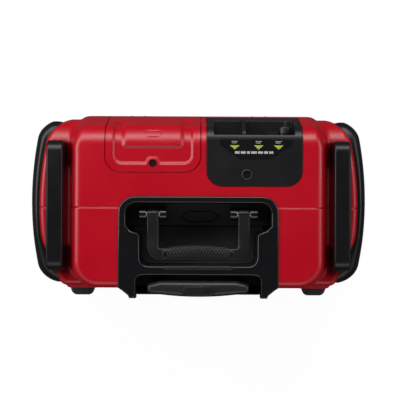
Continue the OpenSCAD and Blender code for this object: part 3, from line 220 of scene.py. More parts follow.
# Colour, spread of its tone, roughness range, grain and cloud size, depth of pits, bump, and more
plastics = {
    # red_shell's hollow value is the strength of its painted shade beside the grab bars
    "red_shell": ((0.385, 0.0008, 0.0095), 0.05, (0.27, 0.34), 0.55, 90.0, 0.6, 0.2, dict(scratches=46.0, hollow=0.85)),
    "black_shell": ((0.0055, 0.0055, 0.0063), 0.12, (0.28, 0.35), 0.6, 60.0, 0.8, 0.25,
                    dict(specular=0.35, scratches=38.0)),
    "black_handle": ((0.0052, 0.0049, 0.006), 0.12, (0.28, 0.35), 0.5, 45.0, 0.7, 0.22,
                     dict(specular=0.35, scratches=34.0)),
    "panelBlack": ((0.0082, 0.0082, 0.0092), 0.12, (0.3, 0.37), 0.6, 60.0, 0.8, 0.25,
                   dict(specular=0.35, scratches=38.0)),
    "rimBlack": ((0.0062, 0.0057, 0.0067), 0.12, (0.16, 0.21), 0.6, 50.0, 0.4, 0.06, dict(specular=0.6)),
    # lighter than the other black plastics: painted light on the floor plates down in the shaded well
    "wellBlackPaintedLight": ((0.034, 0.031, 0.0345), 0.12, (0.42, 0.5), 0.5, 40.0, 0.9, 0.3, dict(specular=0.4)),
    "carryBlack": ((0.0098, 0.0095, 0.011), 0.12, (0.28, 0.35), 0.5, 40.0, 0.6, 0.2,
                   dict(specular=0.4, scratches=30.0)),
    # lighter than the other black plastics: painted light on the trolley grip's tilted faces
    "trolleyBlackPaintedLight": ((0.0135, 0.0135, 0.014), 0.12, (0.32, 0.4), 0.5, 40.0, 0.7, 0.22,
                     dict(specular=0.45, scratches=30.0)),
    "soft_rubber": ((0.0085, 0.0085, 0.0092), 0.15, (0.36, 0.46), 0.7, 30.0, 0.4, 0.2, {}),
    "tyre_rubber": ((0.0065, 0.0058, 0.0068), 0.22, (0.62, 0.78), 0.9, 22.0, 0.5, 0.4, dict(sheen=0.1)),
    "black_fitting": ((0.008, 0.008, 0.009), 0.1, (0.26, 0.36), 0.9, 40.0, 0.2, 0.08, {}),
    "gloss_label": ((0.0055, 0.0055, 0.0065), 0.08, (0.20, 0.27), 1.2, 30.0, 0.2, 0.04, dict(coat=0.3, coatRough=0.12)),
    "button_grey": ((0.0035, 0.0035, 0.0042), 0.1, (0.42, 0.5), 0.5, 20.0, 0.6, 0.2, {}),
    "button_red": ((0.45, 0.01, 0.012), 0.06, (0.22, 0.3), 0.8, 20.0, 0.2, 0.06, dict(coat=0.3)),
    "battery_case": ((0.055, 0.06, 0.07), 0.08, (0.42, 0.55), 0.8, 50.0, 0.5, 0.2, {}),
    "limePrint": ((0.30, 0.39, 0.035), 0.05, (0.35, 0.42), 0.6, 12.0, 0.3, 0.05, {}),
    "palePrint": ((0.36, 0.36, 0.35), 0.06, (0.40, 0.48), 0.6, 12.0, 0.3, 0.05, {}),
}
# Colour, spread of its tone, roughness range, grain size, how the grain is stretched, bump
metals = {
    "steel": ((0.58, 0.58, 0.60), 0.15, (0.28, 0.42), 0.5, (1.0, 1.0, 1.0), 0.1),
    "black_screw": ((0.035, 0.035, 0.038), 0.2, (0.35, 0.5), 0.4, (1.0, 1.0, 1.0), 0.1),
    "tube_steel": ((0.60, 0.61, 0.63), 0.12, (0.18, 0.30), 0.35, (1.0, 1.0, 0.02), 0.12),
    "brass": ((0.74, 0.52, 0.20), 0.12, (0.22, 0.34), 0.5, (1.0, 1.0, 0.2), 0.08),
    "battery_core": ((0.26, 0.27, 0.29), 0.2, (0.5, 0.65), 1.2, (1.0, 0.1, 1.0), 0.2),
    "sink": ((0.60, 0.61, 0.62), 0.1, (0.30, 0.42), 0.5, (1.0, 1.0, 0.03), 0.12),
}


# Dark tinted acrylic: a smooth face over a faint grid of dots, as a display behind it shows
def windowMaterial():
    material, tree, shader = startMaterial("window")
    place = newNode(tree, "TexCoord").outputs["Object"]
    dots = newNode(tree, "TexVoronoi", dict(Vector=place, Scale=420.0, Randomness=0.0))
    base = mixColours(tree, dots.outputs["Distance"], (0.012, 0.018, 0.018, 1.0), (0.004, 0.005, 0.006, 1.0))
    setInputs(tree, shader, dict(Base_Color=base, Roughness=0.08, Coat_Weight=0.6, Coat_Roughness=0.03))
    return material


# Ribbed clear cover of the lamp strip: prisms across the strip as bump
def lensMaterial():
    material, tree, shader = startMaterial("lens")
    place = newNode(tree, "TexCoord").outputs["Object"]
    ribs = newNode(tree, "TexWave", dict(Vector=place, Scale=60.0), wave_type="BANDS", bands_direction="X")
    base = mixColours(tree, ribs.outputs["Fac"], (0.62, 0.65, 0.68, 1.0), (0.80, 0.82, 0.84, 1.0))
    setInputs(tree, shader, dict(Base_Color=base, Roughness=0.16, Coat_Weight=0.5, Coat_Roughness=0.05))
    addBump(tree, shader, ribs.outputs["Fac"], 0.6, 0.8)
    return material


# Printed circuit board: solder mask over a maze of copper lines and pads
def boardMaterial():
    material, tree, shader = startMaterial("board")
    place = newNode(tree, "TexCoord").outputs["Object"]
    turn = newNode(tree, "Mapping", dict(Vector=place, Rotation=(math.pi / 2, 0.0, math.pi / 2)))
    tracks = newNode(tree, "TexBrick", dict(Vector=turn.outputs["Vector"], Scale=90.0, Mortar_Size=0.035))
    pads = newNode(tree, "TexVoronoi", dict(Vector=place, Scale=160.0))
    traced = mixColours(tree, tracks.outputs["Fac"], (0.008, 0.085, 0.035, 1.0), (0.02, 0.17, 0.07, 1.0))
    padMask = mathNode(tree, "LESS_THAN", pads.outputs["Distance"], 0.16)
    base = mixColours(tree, padMask, traced, (0.55, 0.42, 0.2, 1.0))
    setInputs(tree, shader, dict(Base_Color=base, Roughness=0.3, Coat_Weight=0.4))
    addBump(tree, shader, tracks.outputs["Fac"], 0.3, 0.1)
    return material


materials = {name: plasticMaterial(name, finish) for name, finish in plastics.items()}
materials.update({name: metalMaterial(name, finish) for name, finish in metals.items()})
materials.update(window=windowMaterial(), lens=lensMaterial(), board=boardMaterial())
# Nodes whose plastic is a little lighter or darker than the rest of their slot; the trolley grip's lighter black is
# painted light on its tilted faces
finishOf = dict(charging_panel="panelBlack", handle_well="rimBlack", carry_handle="carryBlack",
                trolley_grip="trolleyBlackPaintedLight")
print("materials made:", len(materials))


# Quads over a grid of points; their normal is rows direction x columns direction
def gridFaces(rows, columns, wrapRows=False, wrapColumns=False, start=0):
    i = np.arange(rows if wrapRows else rows - 1)[:, None]
    j = np.arange(columns if wrapColumns else columns - 1)[None, :]
    a = i * columns + j
    b = i * columns + (j + 1) % columns
    c = ((i + 1) % rows) * columns + (j + 1) % columns
    d = ((i + 1) % rows) * columns + j
    return np.stack([a, d, c, b], axis=-1).reshape(-1, 4) + start


# Puts points, in millimetres, and faces into a mesh object at the origin
def newMesh(name, points, faces):
    mesh = bpy.data.meshes.new(name)
    faces = faces.tolist() if isinstance(faces, np.ndarray) else faces
    mesh.from_pydata((np.asarray(points, float).reshape(-1, 3) * mm).tolist(), [], faces)
    mesh.update()
    piece = bpy.data.objects.new(name, mesh)
    bpy.context.scene.collection.objects.link(piece)
    return piece


# Joins (points, faces) pairs into one pair
def gather(*shapes):
    points, faces, start = [], [], 0
    for shapePoints, shapeFaces in shapes:
        shapePoints = np.asarray(shapePoints, float).reshape(-1, 3)
        points.append(shapePoints)
        faces += [[corner + start for corner in face] for face in (
            shapeFaces.tolist() if isinstance(shapeFaces, np.ndarray) else shapeFaces)]
        start += len(shapePoints)
    return np.concatenate(points), faces


# Merges doubles, joins flat triangles into whole faces, smooths all but the sharp edges
def tidyMesh(piece, creaseAngle=32.0, flatten=True, outward=False):
    work = bmesh.new()
    work.from_mesh(piece.data)
    bmesh.ops.remove_doubles(work, verts=work.verts, dist=2e-6)
    if flatten:
        bmesh.ops.dissolve_limit(work, angle_limit=math.radians(0.3), verts=work.verts, edges=work.edges,
                                 delimit={"NORMAL"})
    if outward:
        bmesh.ops.recalc_face_normals(work, faces=work.faces)
    for face in work.faces:
        face.smooth = True
    for edge in work.edges:
        edge.smooth = len(edge.link_faces) == 2 and edge.calc_face_angle(0.0) < math.radians(creaseAngle)
    work.to_mesh(piece.data)
    work.free()


def addBevel(piece, width, segments=2, angle=32.0):
    bevel = piece.modifiers.new("roundedEdges", "BEVEL")
    bevel.width = width * mm
    bevel.segments = segments
    bevel.limit_method = "ANGLE"
    bevel.angle_limit = math.radians(angle)
    bevel.use_clamp_overlap = False
    bevel.harden_normals = True
    bevel.miter_outer = "MITER_ARC"


def addThickness(piece, thickness):
    shell = piece.modifiers.new("wall", "SOLIDIFY")
    shell.thickness = thickness * mm
    shell.offset = -1.0
    shell.use_even_offset = True


# Turns the modifiers into plain mesh
def bake(piece):
    view = bpy.context.evaluated_depsgraph_get()
    view.update()
    mesh = bpy.data.meshes.new_from_object(piece.evaluated_get(view))
    piece.modifiers.clear()
    piece.data = mesh


# Cuts each cutter from the piece, or keeps what they share, and deletes the cutters
def carve(piece, cutters, operation="DIFFERENCE"):
    for cutter in cutters:
        knife = piece.modifiers.new("knife", "BOOLEAN")
        knife.solver = "MANIFOLD"
        knife.operation = operation
        knife.object = cutter
    bake(piece)
    for cutter in cutters:
        bpy.data.objects.remove(cutter)


# The piece takes the node's body, slot and finish, or a finish of its own, and stands for the node
def settle(piece, node, finish=None, stands=True):
    piece.data.materials.clear()
    piece.data.materials.append(materials[finish or finishOf.get(node, slotOf[node])])
    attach(piece, bodyOf[node])
    if stands:
        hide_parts(node)
    return piece


# A merged copy of a CAD node, with the mesh's own normals
def plainCopy(node, flatten=True):
    source = frame["nodes"][node]
    piece = bpy.data.objects.new(node.replace("_", "-") + "-finished", source.data.copy())
    bpy.context.scene.collection.objects.link(piece)
    if piece.data.has_custom_normals:
        for attribute in [a.name for a in piece.data.attributes if a.name == "custom_normal"]:
            piece.data.attributes.remove(piece.data.attributes[attribute])
    tidyMesh(piece, flatten=flatten)
    return piece


for node, piece in frame["nodes"].items():
    piece.data.materials.clear()
    piece.data.materials.append(materials[finishOf.get(node, slotOf[node])])


# Points on an arc in the plane, about a centre, between two angles in degrees
def arc(centreX, centreY, radius, first, last, count=10):
    angles = np.radians(np.linspace(first, last, count))
    return np.stack([centreX + radius * np.cos(angles), centreY + radius * np.sin(angles)], axis=1)


# The half outline together with its mirror image over the Y axis, as one closed loop
def mirrored(half):
    half = np.asarray(half, float)
    return np.concatenate([half, half[::-1] * [-1.0, 1.0]])


# Moves a closed loop outwards by a distance: each corner goes along the mean of its two edge
# normals, divided by the cosine of half the turn
def growLoop(loop, distance):
    loop = np.asarray(loop, float)
    edge = np.roll(loop, -1, axis=0) - loop
    edge /= np.linalg.norm(edge, axis=1)[:, None]
    normal = np.stack([edge[:, 1], -edge[:, 0]], axis=1)
    area = np.sum(loop[:, 0] * np.roll(loop[:, 1], -1) - np.roll(loop[:, 0], -1) * loop[:, 1])
    before = np.roll(normal, 1, axis=0)
    mean = normal + before
    mean /= np.maximum(np.sum(mean * normal, axis=1), 0.3)[:, None]
    return loop + mean * distance * np.sign(area)


# Closed prism on a loop: along "z" the loop is (x, y), along "y" it is (x, z), along "x" it is (y, z)
def prism(loop, low, high, along="z"):
    loop = np.asarray(loop, float)
    count = len(loop)
    if np.sum(loop[:, 0] * np.roll(loop[:, 1], -1) - np.roll(loop[:, 0], -1) * loop[:, 1]) < 0:
        loop = loop[::-1]
    flat = np.concatenate([np.c_[loop, np.full(count, low)], np.c_[loop, np.full(count, high)]])
    order = {"z": [0, 1, 2], "y": [0, 2, 1], "x": [2, 0, 1]}[along]
    ring = np.arange(count)
    following = (ring + 1) % count
    faces = np.stack([ring, following, following + count, ring + count], axis=1).tolist()
    faces += [ring[::-1].tolist(), (ring + count).tolist()]
    if along == "y":
        faces = [face[::-1] for face in faces]
    return flat[:, order], faces


def rectangle(lowX, highX, lowY, highY):
    return [[lowX, lowY], [highX, lowY], [highX, highY], [lowX, highY]]


def circle(centreX, centreY, radius, count=64):
    return arc(centreX, centreY, radius, 0, 360 * (1 - 1 / count), count)


# Distance to the common part of two forms whose edge is rounded with a radius; cosine is that of
# the angle between their outward normals
def roundAnd(a, b, radius, cosine=0.0):
    u, v = a + radius, b + radius
    corner = (u > v * cosine) & (v > u * cosine)
    around = np.sqrt(np.maximum(u * u - 2 * u * v * cosine + v * v, 0) / (1 - cosine ** 2)) - radius
    return np.where(corner, around, np.maximum(a, b))


# Distance to two forms together, with a fillet where they meet
def roundOr(a, b, radius):
    return np.maximum(radius, np.minimum(a, b)) - np.hypot(np.maximum(radius - a, 0), np.maximum(radius - b, 0))


def ease(value, low, high):
    t = np.clip((value - low) / (high - low), 0, 1)
    return t * t * (3 - 2 * t)


shell = dict(sideX=236, bulge=450, bulgeY=-8, frontY=146, sideBack=5.5, sideStep=(168, 182), rearY=112, base=22,
             shoulder=350, deck=400, deckHalf=190, chamfer=(202, 112), chamferNormal=(0.9083, 0.4184),
             chamferRadius=60, chamferCosine=0.952, rearRadius=14, slopeNormal=(0.98, 0.199), shoulderRadius=9,
             footFillet=4, footFade=30, deckRadius=16, deckCorner=38, lowFace=(0.9942, 0.1081, 270, 80),
             highFace=(0.9615, 0.2747, 316, 60), highBack=5, highCosine=0.9856, cornerRadius=34, browRadius=32,
             lowBrowRadius=40, browFade=(160, 196), cornerFade=(290, 335), browCosine=0.27, baseRadius=9, seamY=-3,
             seamDepth=0.9, seamWidth=0.8, middle=(0.0, -3.0, 210.0), reach=(240.0, 150.0, 116.0, 18.0, 404.0),
             thickness=3.0)


# Signed distance, below 0 inside, to the red body: bulged ends, chamfered rear corners, sloping
# front, shoulders, and a raised deck that runs down to them in a fillet; a groove marks the seam
def bodyDistance(x, y, z):
    s = shell
    x = np.abs(x)
    ends = np.hypot(x - s["sideX"] + s["bulge"], y - s["bulgeY"]) - s["bulge"]
    chamfer = (x - s["chamfer"][0]) * s["chamferNormal"][0] + (y - s["chamfer"][1]) * s["chamferNormal"][1]
    rear = y - s["rearY"]
    walls = roundAnd(ends, chamfer, s["chamferRadius"], s["chamferCosine"])
    walls = roundAnd(walls, rear, s["rearRadius"], s["chamferNormal"][1])
    low = roundAnd(walls, z - s["shoulder"], s["shoulderRadius"])
    slope = (x - s["deckHalf"]) * s["slopeNormal"][0] + (z - s["shoulder"]) * s["slopeNormal"][1]
    deck = roundAnd(roundAnd(slope, rear, s["deckCorner"]), z - s["deck"], s["deckRadius"], s["slopeNormal"][1])
    body = roundOr(low, deck, s["footFillet"] * np.clip((s["rearY"] - y) / s["footFade"], 0, 1))
    face = -y - s["frontY"] + s["sideBack"] * ease(x, *s["sideStep"])
    ahead, up, start, radius = s["lowFace"]
    front = roundAnd(face, face * ahead + (z - start) * up, radius, ahead)
    ahead, up, start, radius = s["highFace"]
    front = roundAnd(front, (face + s["highBack"]) * ahead + (z - start) * up, radius, s["highCosine"])
    edge = s["browRadius"] + (s["lowBrowRadius"] - s["browRadius"]) * ease(x, *s["browFade"])
    edge = edge + (s["cornerRadius"] - edge) * (1 - ease(z, *s["cornerFade"]))
    body = roundAnd(body, front, edge, s["browCosine"])
    body = roundAnd(body, s["base"] - z, s["baseRadius"])
    return body + s["seamDepth"] * np.exp(-((y - s["seamY"]) / s["seamWidth"]) ** 2)


# Steps from first to last, both kept
def steps(first, last, step):
    return np.linspace(first, last, max(2, int(round(abs(last - first) / step)) + 1))


def lines(*parts):
    return np.unique(np.round(np.concatenate(parts), 4))


# How far a rounded corner draws an edge in, at a distance s from where it starts
def cornerInset(radius, s):
    return radius - np.sqrt(np.maximum(radius ** 2 - np.maximum(radius - s, 0) ** 2, 0))


# Places along X from -half to half, closer together within a length of both ends
def barSteps(half, length, fine, coarse):
    return lines(steps(-half, -half + length, fine), steps(-half + length, half - length, coarse),
                 steps(half - length, half, fine))


# Share of its full size that a bar with rounded ends has at x, from least at the very end to 1
def endShrink(x, half, length, least):
    toEnd = np.clip((half - np.abs(x)) / length, 0, 1)
    return np.sqrt(np.maximum(1 - (1 - toEnd) ** 2, 0)) * (1 - least) + least


# Skin of the body between two Y planes: a grid is drawn on the box round the body, and each of its
# points moves towards the middle until the signed distance there equals -inset
def bodySkin(inset, front=True, rear=True):
    high = np.array([shell["reach"][0], shell["reach"][2], shell["reach"][4]]) - shell["middle"]
    low = np.array([-shell["reach"][0], -shell["reach"][1], shell["reach"][3]]) - shell["middle"]
    side = np.concatenate([steps(0, 150, 12), steps(150, 176, 1.6), steps(176, high[0], 2.4)])
    xs = lines(side, -side)
    zs = lines(steps(low[2], low[2] + 16, 2.5), steps(low[2] + 16, 60, 20), steps(60, 100, 5),
               steps(100, high[2], 1.8))
    ahead = lines(steps(low[1], low[1] + 60, 2), steps(low[1] + 60, -8, 12), [-5, -2.4, -1.5, -1, -0.6, -0.3, 0])
    behind = lines([0, 0.3, 0.6, 1, 1.5, 2.4, 5], steps(8, 70, 9), steps(70, high[1], 2))
    ys = lines(ahead if front else behind, behind if rear else ahead)
    patches = []
    for rows, columns, axes, level, wanted in (
            (xs, ys, (0, 1, 2), high[2], True), (ys, xs, (1, 0, 2), low[2], True),
            (ys, zs, (1, 2, 0), high[0], True), (zs, ys, (2, 1, 0), low[0], True),
            (xs, zs, (0, 2, 1), low[1], front), (zs, xs, (2, 0, 1), high[1], rear)):
        if not wanted:
            continue
        grid = np.empty((len(rows), len(columns), 3))
        grid[..., axes[0]] = rows[:, None]
        grid[..., axes[1]] = columns[None, :]
        grid[..., axes[2]] = level
        patches.append((grid, gridFaces(len(rows), len(columns))))
    points, faces = gather(*patches)
    inner, outer = np.zeros(len(points)), np.ones(len(points))
    for step in range(22):
        middle = (inner + outer) / 2
        x, y, z = (points * middle[:, None] + shell["middle"]).T
        inside = bodyDistance(x, y, z) < -inset
        inner = np.where(inside, middle, inner)
        outer = np.where(inside, outer, middle)
    return points * inner[:, None] + shell["middle"], faces


# Outline of a lid in plan, from far in front of the body to its rounded rear corners
def lidOutline(lowX, highX, rearY, radius, grow):
    return np.concatenate([
        [[lowX - grow, -300.0], [highX + grow, -300.0]],
        arc(highX - radius, rearY - radius, radius + grow, 0, 90, 14),
        arc(lowX + radius, rearY - radius, radius + grow, 90, 180, 14)])


well = dict(half=104.0, front=-10.0, step=23.0, neck=84.0, rear=80.0, wall=3.0, frontRadius=15.0, rearRadius=12.0,
            neckBend=((13.0, 7.0), (3.0, 10.0), (0.0, 14.0)))
wellLoop = mirrored(np.concatenate([
    arc(well["half"] - well["frontRadius"], well["front"] + well["frontRadius"], well["frontRadius"], -90, 0, 10),
    [[well["half"], well["step"]]], np.array(well["neckBend"]) + [well["neck"], well["step"]],
    arc(well["neck"] - well["rearRadius"], well["rear"] - well["rearRadius"], well["rearRadius"], 0, 90, 8)]))
lids = dict(door=(-3.0, 134.0, -54.0), panel=(-148.4, -11.4, -34.0), radius=23.0, low=321.2)
# Where the shell is cut away for other pieces: each is a place or outline and how far the cut goes
openings = dict(top=430.0, gap=0.75, wellLow=384.1, panel=(140.0, 60.0, 262.0, 10.0), panelDepth=(-170.0, -141.1),
                notch=((76.0, 93.0), (80.0, 102.0, 9.0), (89.0, 146.0)), notchLow=336.3,
                spine=(-94.9, 94.9, 96.1, 150.0), spineLow=26.1, arch=(88.0, 62.0, 66.0), archLow=-62.0,
                archWidth=(181.05, 224.95))


# One half of the red shell: the outer skin is the smooth form, and all that lies more than 1 mm
# inside it is the CAD node's own
def housingHalf(node, front, cutters):
    piece = newMesh(node.replace("_", "-") + "-shell", *bodySkin(0.0, front, not front))
    tidyMesh(piece, flatten=False)
    addThickness(piece, shell["thickness"])
    bake(piece)
    carve(piece, [newMesh("knife", *cutter) for cutter in cutters])
    tidyMesh(piece, 30.0, flatten=False)
    inner = plainCopy(node, flatten=False)
    limit = newMesh("limit", *bodySkin(1.0))
    tidyMesh(limit, flatten=False)
    carve(inner, [limit], "INTERSECT")
    tidyMesh(inner, 30.0, flatten=False)
    print(node, "shell faces", len(piece.data.polygons), "inside faces", len(inner.data.polygons))
    return piece, inner


def joinPieces(piece, *others):
    work = bmesh.new()
    for part in (piece,) + others:
        work.from_mesh(part.data)
    work.to_mesh(piece.data)
    work.free()
    for part in others:
        bpy.data.objects.remove(part)
    return piece


# The cuts of both halves, from the openings' outlines
def shellCuts():
    o = openings
    top = o["top"]
    wide, low, high, radius = o["panel"]
    side = wide - radius
    panel = np.concatenate([arc(x, z, radius, turn, turn + 90, 8) for x, z, turn in (
        (side, high - radius, 0), (-side, high - radius, 90), (-side, low + radius, 180), (side, low + radius, 270))])
    first, bend, last = o["notch"]
    notch = mirrored(np.concatenate([[first], arc(*bend, -60, 0, 6), [last]]))
    y, z, radius = o["arch"]
    arch = np.concatenate([arc(y, z, radius, 0, 180, 40), [[y - radius, o["archLow"]], [y + radius, o["archLow"]]]])
    wellCut = prism(growLoop(wellLoop, well["wall"] + o["gap"]), o["wellLow"], top)
    front = [prism(lidOutline(*lids[lid], lids["radius"], o["gap"]), lids["low"], top) for lid in ("door", "panel")]
    front += [wellCut, prism(growLoop(panel, o["gap"]), *o["panelDepth"], "y")]
    rear = [wellCut, prism(growLoop(notch, well["wall"] + o["gap"]), o["notchLow"], top),
            prism(rectangle(*o["spine"]), o["spineLow"], top)]
    rear += [prism(arch, *sorted(sign * x for x in o["archWidth"]), "x") for sign in (1, -1)]
    return front, rear


frontCuts, rearCuts = shellCuts()
for node, front, cutters in (("front_housing", True, frontCuts), ("rear_housing", False, rearCuts)):
    settle(joinPieces(*housingHalf(node, front, cutters)), node)


# Rounded rectangle in the plane: signed distance, below 0 inside
def boxDistance(x, y, lowX, highX, lowY, highY, radius):
    acrossX = np.abs(x - (lowX + highX) / 2) - (highX - lowX) / 2 + radius
    acrossY = np.abs(y - (lowY + highY) / 2) - (highY - lowY) / 2 + radius
    return (np.hypot(np.maximum(acrossX, 0), np.maximum(acrossY, 0))
            + np.minimum(np.maximum(acrossX, acrossY), 0) - radius)


# Tube along a path: for each row a centre, a side direction, half width and half height; the
# section is a superellipse, |a/w|^power + |b/h|^power = 1, in the side direction and the third one
def sweep(centres, sides, ups, halfWidth, halfHeight, power=3.5, around=36, lift=None):
    turn = np.linspace(0, 2 * np.pi, around, endpoint=False)
    a = np.sign(np.cos(turn)) * np.abs(np.cos(turn)) ** (2 / power)
    b = np.sign(np.sin(turn)) * np.abs(np.sin(turn)) ** (2 / power)
    rows = len(centres)
    width = np.broadcast_to(halfWidth, rows)[:, None] * a
    height = np.broadcast_to(halfHeight, rows)[:, None] * b
    if lift is not None:
        length = np.hypot(width, height)
        width, height = width * (1 + lift / length), height * (1 + lift / length)
    points = (centres[:, None, :] + width[..., None] * sides[:, None, :] + height[..., None] * ups[:, None, :])
    faces = gridFaces(rows, around, wrapColumns=True).tolist()
    faces += [list(range(around)), list(range((rows - 1) * around, rows * around))[::-1]]
    return points.reshape(-1, 3), [face[::-1] for face in faces]


# Solid turned about an axis: profile of (distance along the axis, radius) pairs, round a centre
def turned(profile, centre, axis="z", around=64, hollow=False):
    profile = np.asarray(profile, float)
    turn = np.linspace(0, 2 * np.pi, around, endpoint=False)
    along = np.repeat(profile[:, :1], around, axis=1)
    a, b = profile[:, 1:] * np.cos(turn), profile[:, 1:] * np.sin(turn)
    flat = {"z": np.stack([a, b, along], -1), "x": np.stack([along, a, b], -1), "y": np.stack([b, along, a], -1)}
    faces = gridFaces(len(profile), around, wrapRows=hollow, wrapColumns=True).tolist()
    if not hollow:
        faces += [list(range(around)), list(range((len(profile) - 1) * around, len(profile) * around))[::-1]]
    return (flat[axis] + np.asarray(centre, float)).reshape(-1, 3), [face[::-1] for face in faces]


door = dict(lowX=-3.0, highX=134.0, rearY=-54.0, radius=23.0, deck=400.0, browY=-92.863, browRadius=32.0,
            browAngle=74.05, length=57.0, depth=2.5, inset=12.5, wall=5.0, recessRadius=12.0, recessEnd=30.0,
            padHalf=38.0, padSide=8.0, padStart=33.0, padRamp=5.5, padHeight=3.1, rim=1.3, thickness=5.0,
            screw=(65.5, -66.5), bossRadius=9.2, bossWall=(1.2, 1.4), holeRadius=5.4,
            groove=(54.0, 77.0, 50.0, 61.0, 4.0), grooveWidth=0.55, grooveDepth=0.4, barrel=(-133.53, 325.764, 4.4))
lengthOfDoor = door["rearY"] - door["browY"] + math.radians(door["browAngle"]) * door["browRadius"] + door["length"]


# The door's side view as a path: flat deck, brow arc, then the straight slope. Gives place and
# outward normal for a distance s run from the rear edge
def doorProfile(s):
    flat = door["rearY"] - door["browY"]
    swept = math.radians(door["browAngle"])
    angle = np.clip((s - flat) / door["browRadius"], 0, swept)
    beyond = np.maximum(s - flat - swept * door["browRadius"], 0)
    y = door["rearY"] - np.minimum(s, flat) - door["browRadius"] * np.sin(angle) - beyond * np.cos(angle)
    z = door["deck"] - door["browRadius"] * (1 - np.cos(angle)) - beyond * np.sin(angle)
    return y, z, -np.sin(angle), np.cos(angle)


# How deep the door's face lies under its plain profile: rolled rim, sunk field with soft walls,
# grip pad with a ramp at its rear, boss round the screw and a fine groove that frames the pad's middle
def doorDepth(x, s):
    d = door
    middle = (d["lowX"] + d["highX"]) / 2
    outline = boxDistance(x, s, d["lowX"], d["highX"], 0, 400, d["radius"])
    near = np.maximum(outline + d["rim"], 0)
    rim = d["rim"] - np.sqrt(np.maximum(d["rim"] ** 2 - np.minimum(near, d["rim"]) ** 2, 0))
    field = boxDistance(x, s, d["lowX"] + d["inset"], d["highX"] - d["inset"], d["inset"],
                        lengthOfDoor - d["recessEnd"], d["recessRadius"])
    sunk = ease(-field, -d["wall"] / 2, d["wall"] / 2)
    side = ease(d["padHalf"] + d["padSide"] - np.abs(x - middle), 0, d["padSide"])
    pad = side * ease(s, d["padStart"], d["padStart"] + d["padRamp"])
    screwAway = np.hypot(x - d["screw"][0], s - d["rearY"] + d["screw"][1])
    boss = 1 - ease(screwAway, d["bossRadius"] - d["bossWall"][0], d["bossRadius"] + d["bossWall"][1])
    groove = np.exp(-(boxDistance(x, s, *d["groove"]) / d["grooveWidth"]) ** 2) * d["grooveDepth"]
    return rim + d["depth"] * sunk * (1 - boss) - d["padHeight"] * pad * sunk + groove


def buildDoor():
    d = door
    corner = d["radius"] * (1 - np.cos(np.radians(np.linspace(0, 90, 22))))
    s = lines(corner, np.arange(d["radius"], lengthOfDoor - 2, 1.0), [lengthOfDoor])
    t = np.linspace(0, 1, 150)
    inset = cornerInset(d["radius"], s)
    low, high = d["lowX"] + inset, d["highX"] - inset
    x = low[:, None] + (high - low)[:, None] * t
    run = np.repeat(s[:, None], len(t), axis=1)
    y, z, normalY, normalZ = doorProfile(run)
    depth = doorDepth(x, run)
    points = np.stack([x, y - normalY * depth, z - normalZ * depth], axis=-1)
    piece = newMesh("access-door-face", points, gridFaces(len(s), len(t)))
    addThickness(piece, d["thickness"])
    bake(piece)
    hole = newMesh("knife", *prism(circle(*d["screw"], d["holeRadius"]), 385.0, 410.0))
    carve(piece, [hole])
    barrelY, barrelZ, radius = d["barrel"]
    barrel = newMesh("barrel", *turned(
        [(d["lowX"], radius - 0.8), (d["lowX"] + 0.8, radius), (d["highX"] - 0.8, radius), (d["highX"], radius - 0.8)],
        (0, barrelY, barrelZ), "x", 40))
    joinPieces(piece, barrel)
    tidyMesh(piece, 38.0, flatten=False)
    return settle(piece, "access_door")


buildDoor()
print("door made")

carry = dict(pivot=(65.5, 6.0, 386.0), bendRadius=12.0, barY=64.0, armHalf=8.5, barHalf=9.2, armHeight=7.0,
             barHeight=9.5, thickFrom=34.0, power=7.0, knuckle=(57.0, 74.0, 7.4),
             edge=((0.0, 1.2), (0.4, 0.35), (1.2, 0.0)))


# One swept bar from pivot to pivot: two straight arms, two bends, and a thicker bar between them
def buildCarryHandle():
    c = carry
    armX, pivotY, level = c["pivot"]
    bend = c["bendRadius"]
    arm = np.stack([np.full(24, armX), np.linspace(pivotY, c["barY"] - bend, 24)], axis=1)
    turn = arc(armX - bend, c["barY"] - bend, bend, 0, 90, 16)[1:]
    bar = np.stack([np.linspace(armX - bend, 0, 14), np.full(14, c["barY"])], axis=1)[1:]
    half = np.concatenate([arm, turn, bar])
    path = np.concatenate([half, half[:-1][::-1] * [-1, 1]])
    along = np.gradient(path, axis=0)
    along /= np.linalg.norm(along, axis=1)[:, None]
    rows = len(path)
    centres = np.c_[path, np.full(rows, level)]
    sides = np.c_[along[:, 1], -along[:, 0], np.zeros(rows)]
    ups = np.tile([0.0, 0.0, 1.0], (rows, 1))
    thick = ease(path[:, 1], c["thickFrom"], c["barY"])
    width = c["armHalf"] + (c["barHalf"] - c["armHalf"]) * thick
    height = c["armHeight"] + (c["barHeight"] - c["armHeight"]) * thick
    low, high, radius = c["knuckle"]
    shapes = [sweep(centres, sides, ups, width, height, c["power"], 56)]
    for start, end in ((low, high), (-high, -low)):
        profile = [(start + along, radius - less) for along, less in c["edge"]]
        profile += [(end - along, radius - less) for along, less in c["edge"][::-1]]
        shapes.append(turned(profile, (0, pivotY, level), "x", 40))
    piece = newMesh("carry-bar", *gather(*shapes))
    tidyMesh(piece, 40.0, flatten=False, outward=True)
    return settle(piece, "carry_handle")


buildCarryHandle()

sleeve = dict(half=52.0, rearY=74.0, middleFront=49.4, endFront=54.6, level=386.0, height=11.0, knurlPitch=4.6,
              knurlTurns=16, knurlDepth=0.55, knurlEnd=47.0, endRound=3.0, endShare=0.84, power=3.0, around=144)


# Bar along X with its middle and half depth in Y and its half height round a level, for each x
def barAlong(name, x, middle, level, halfDepth, halfHeight, power, around, lift=None):
    rows = len(x)
    piece = newMesh(name, *sweep(
        np.c_[x, np.broadcast_to(middle, rows), np.full(rows, level)], np.tile([0.0, 1.0, 0.0], (rows, 1)),
        np.tile([0.0, 0.0, 1.0], (rows, 1)), halfDepth, halfHeight, power, around, lift))
    tidyMesh(piece, 60.0, flatten=False, outward=True)
    return piece


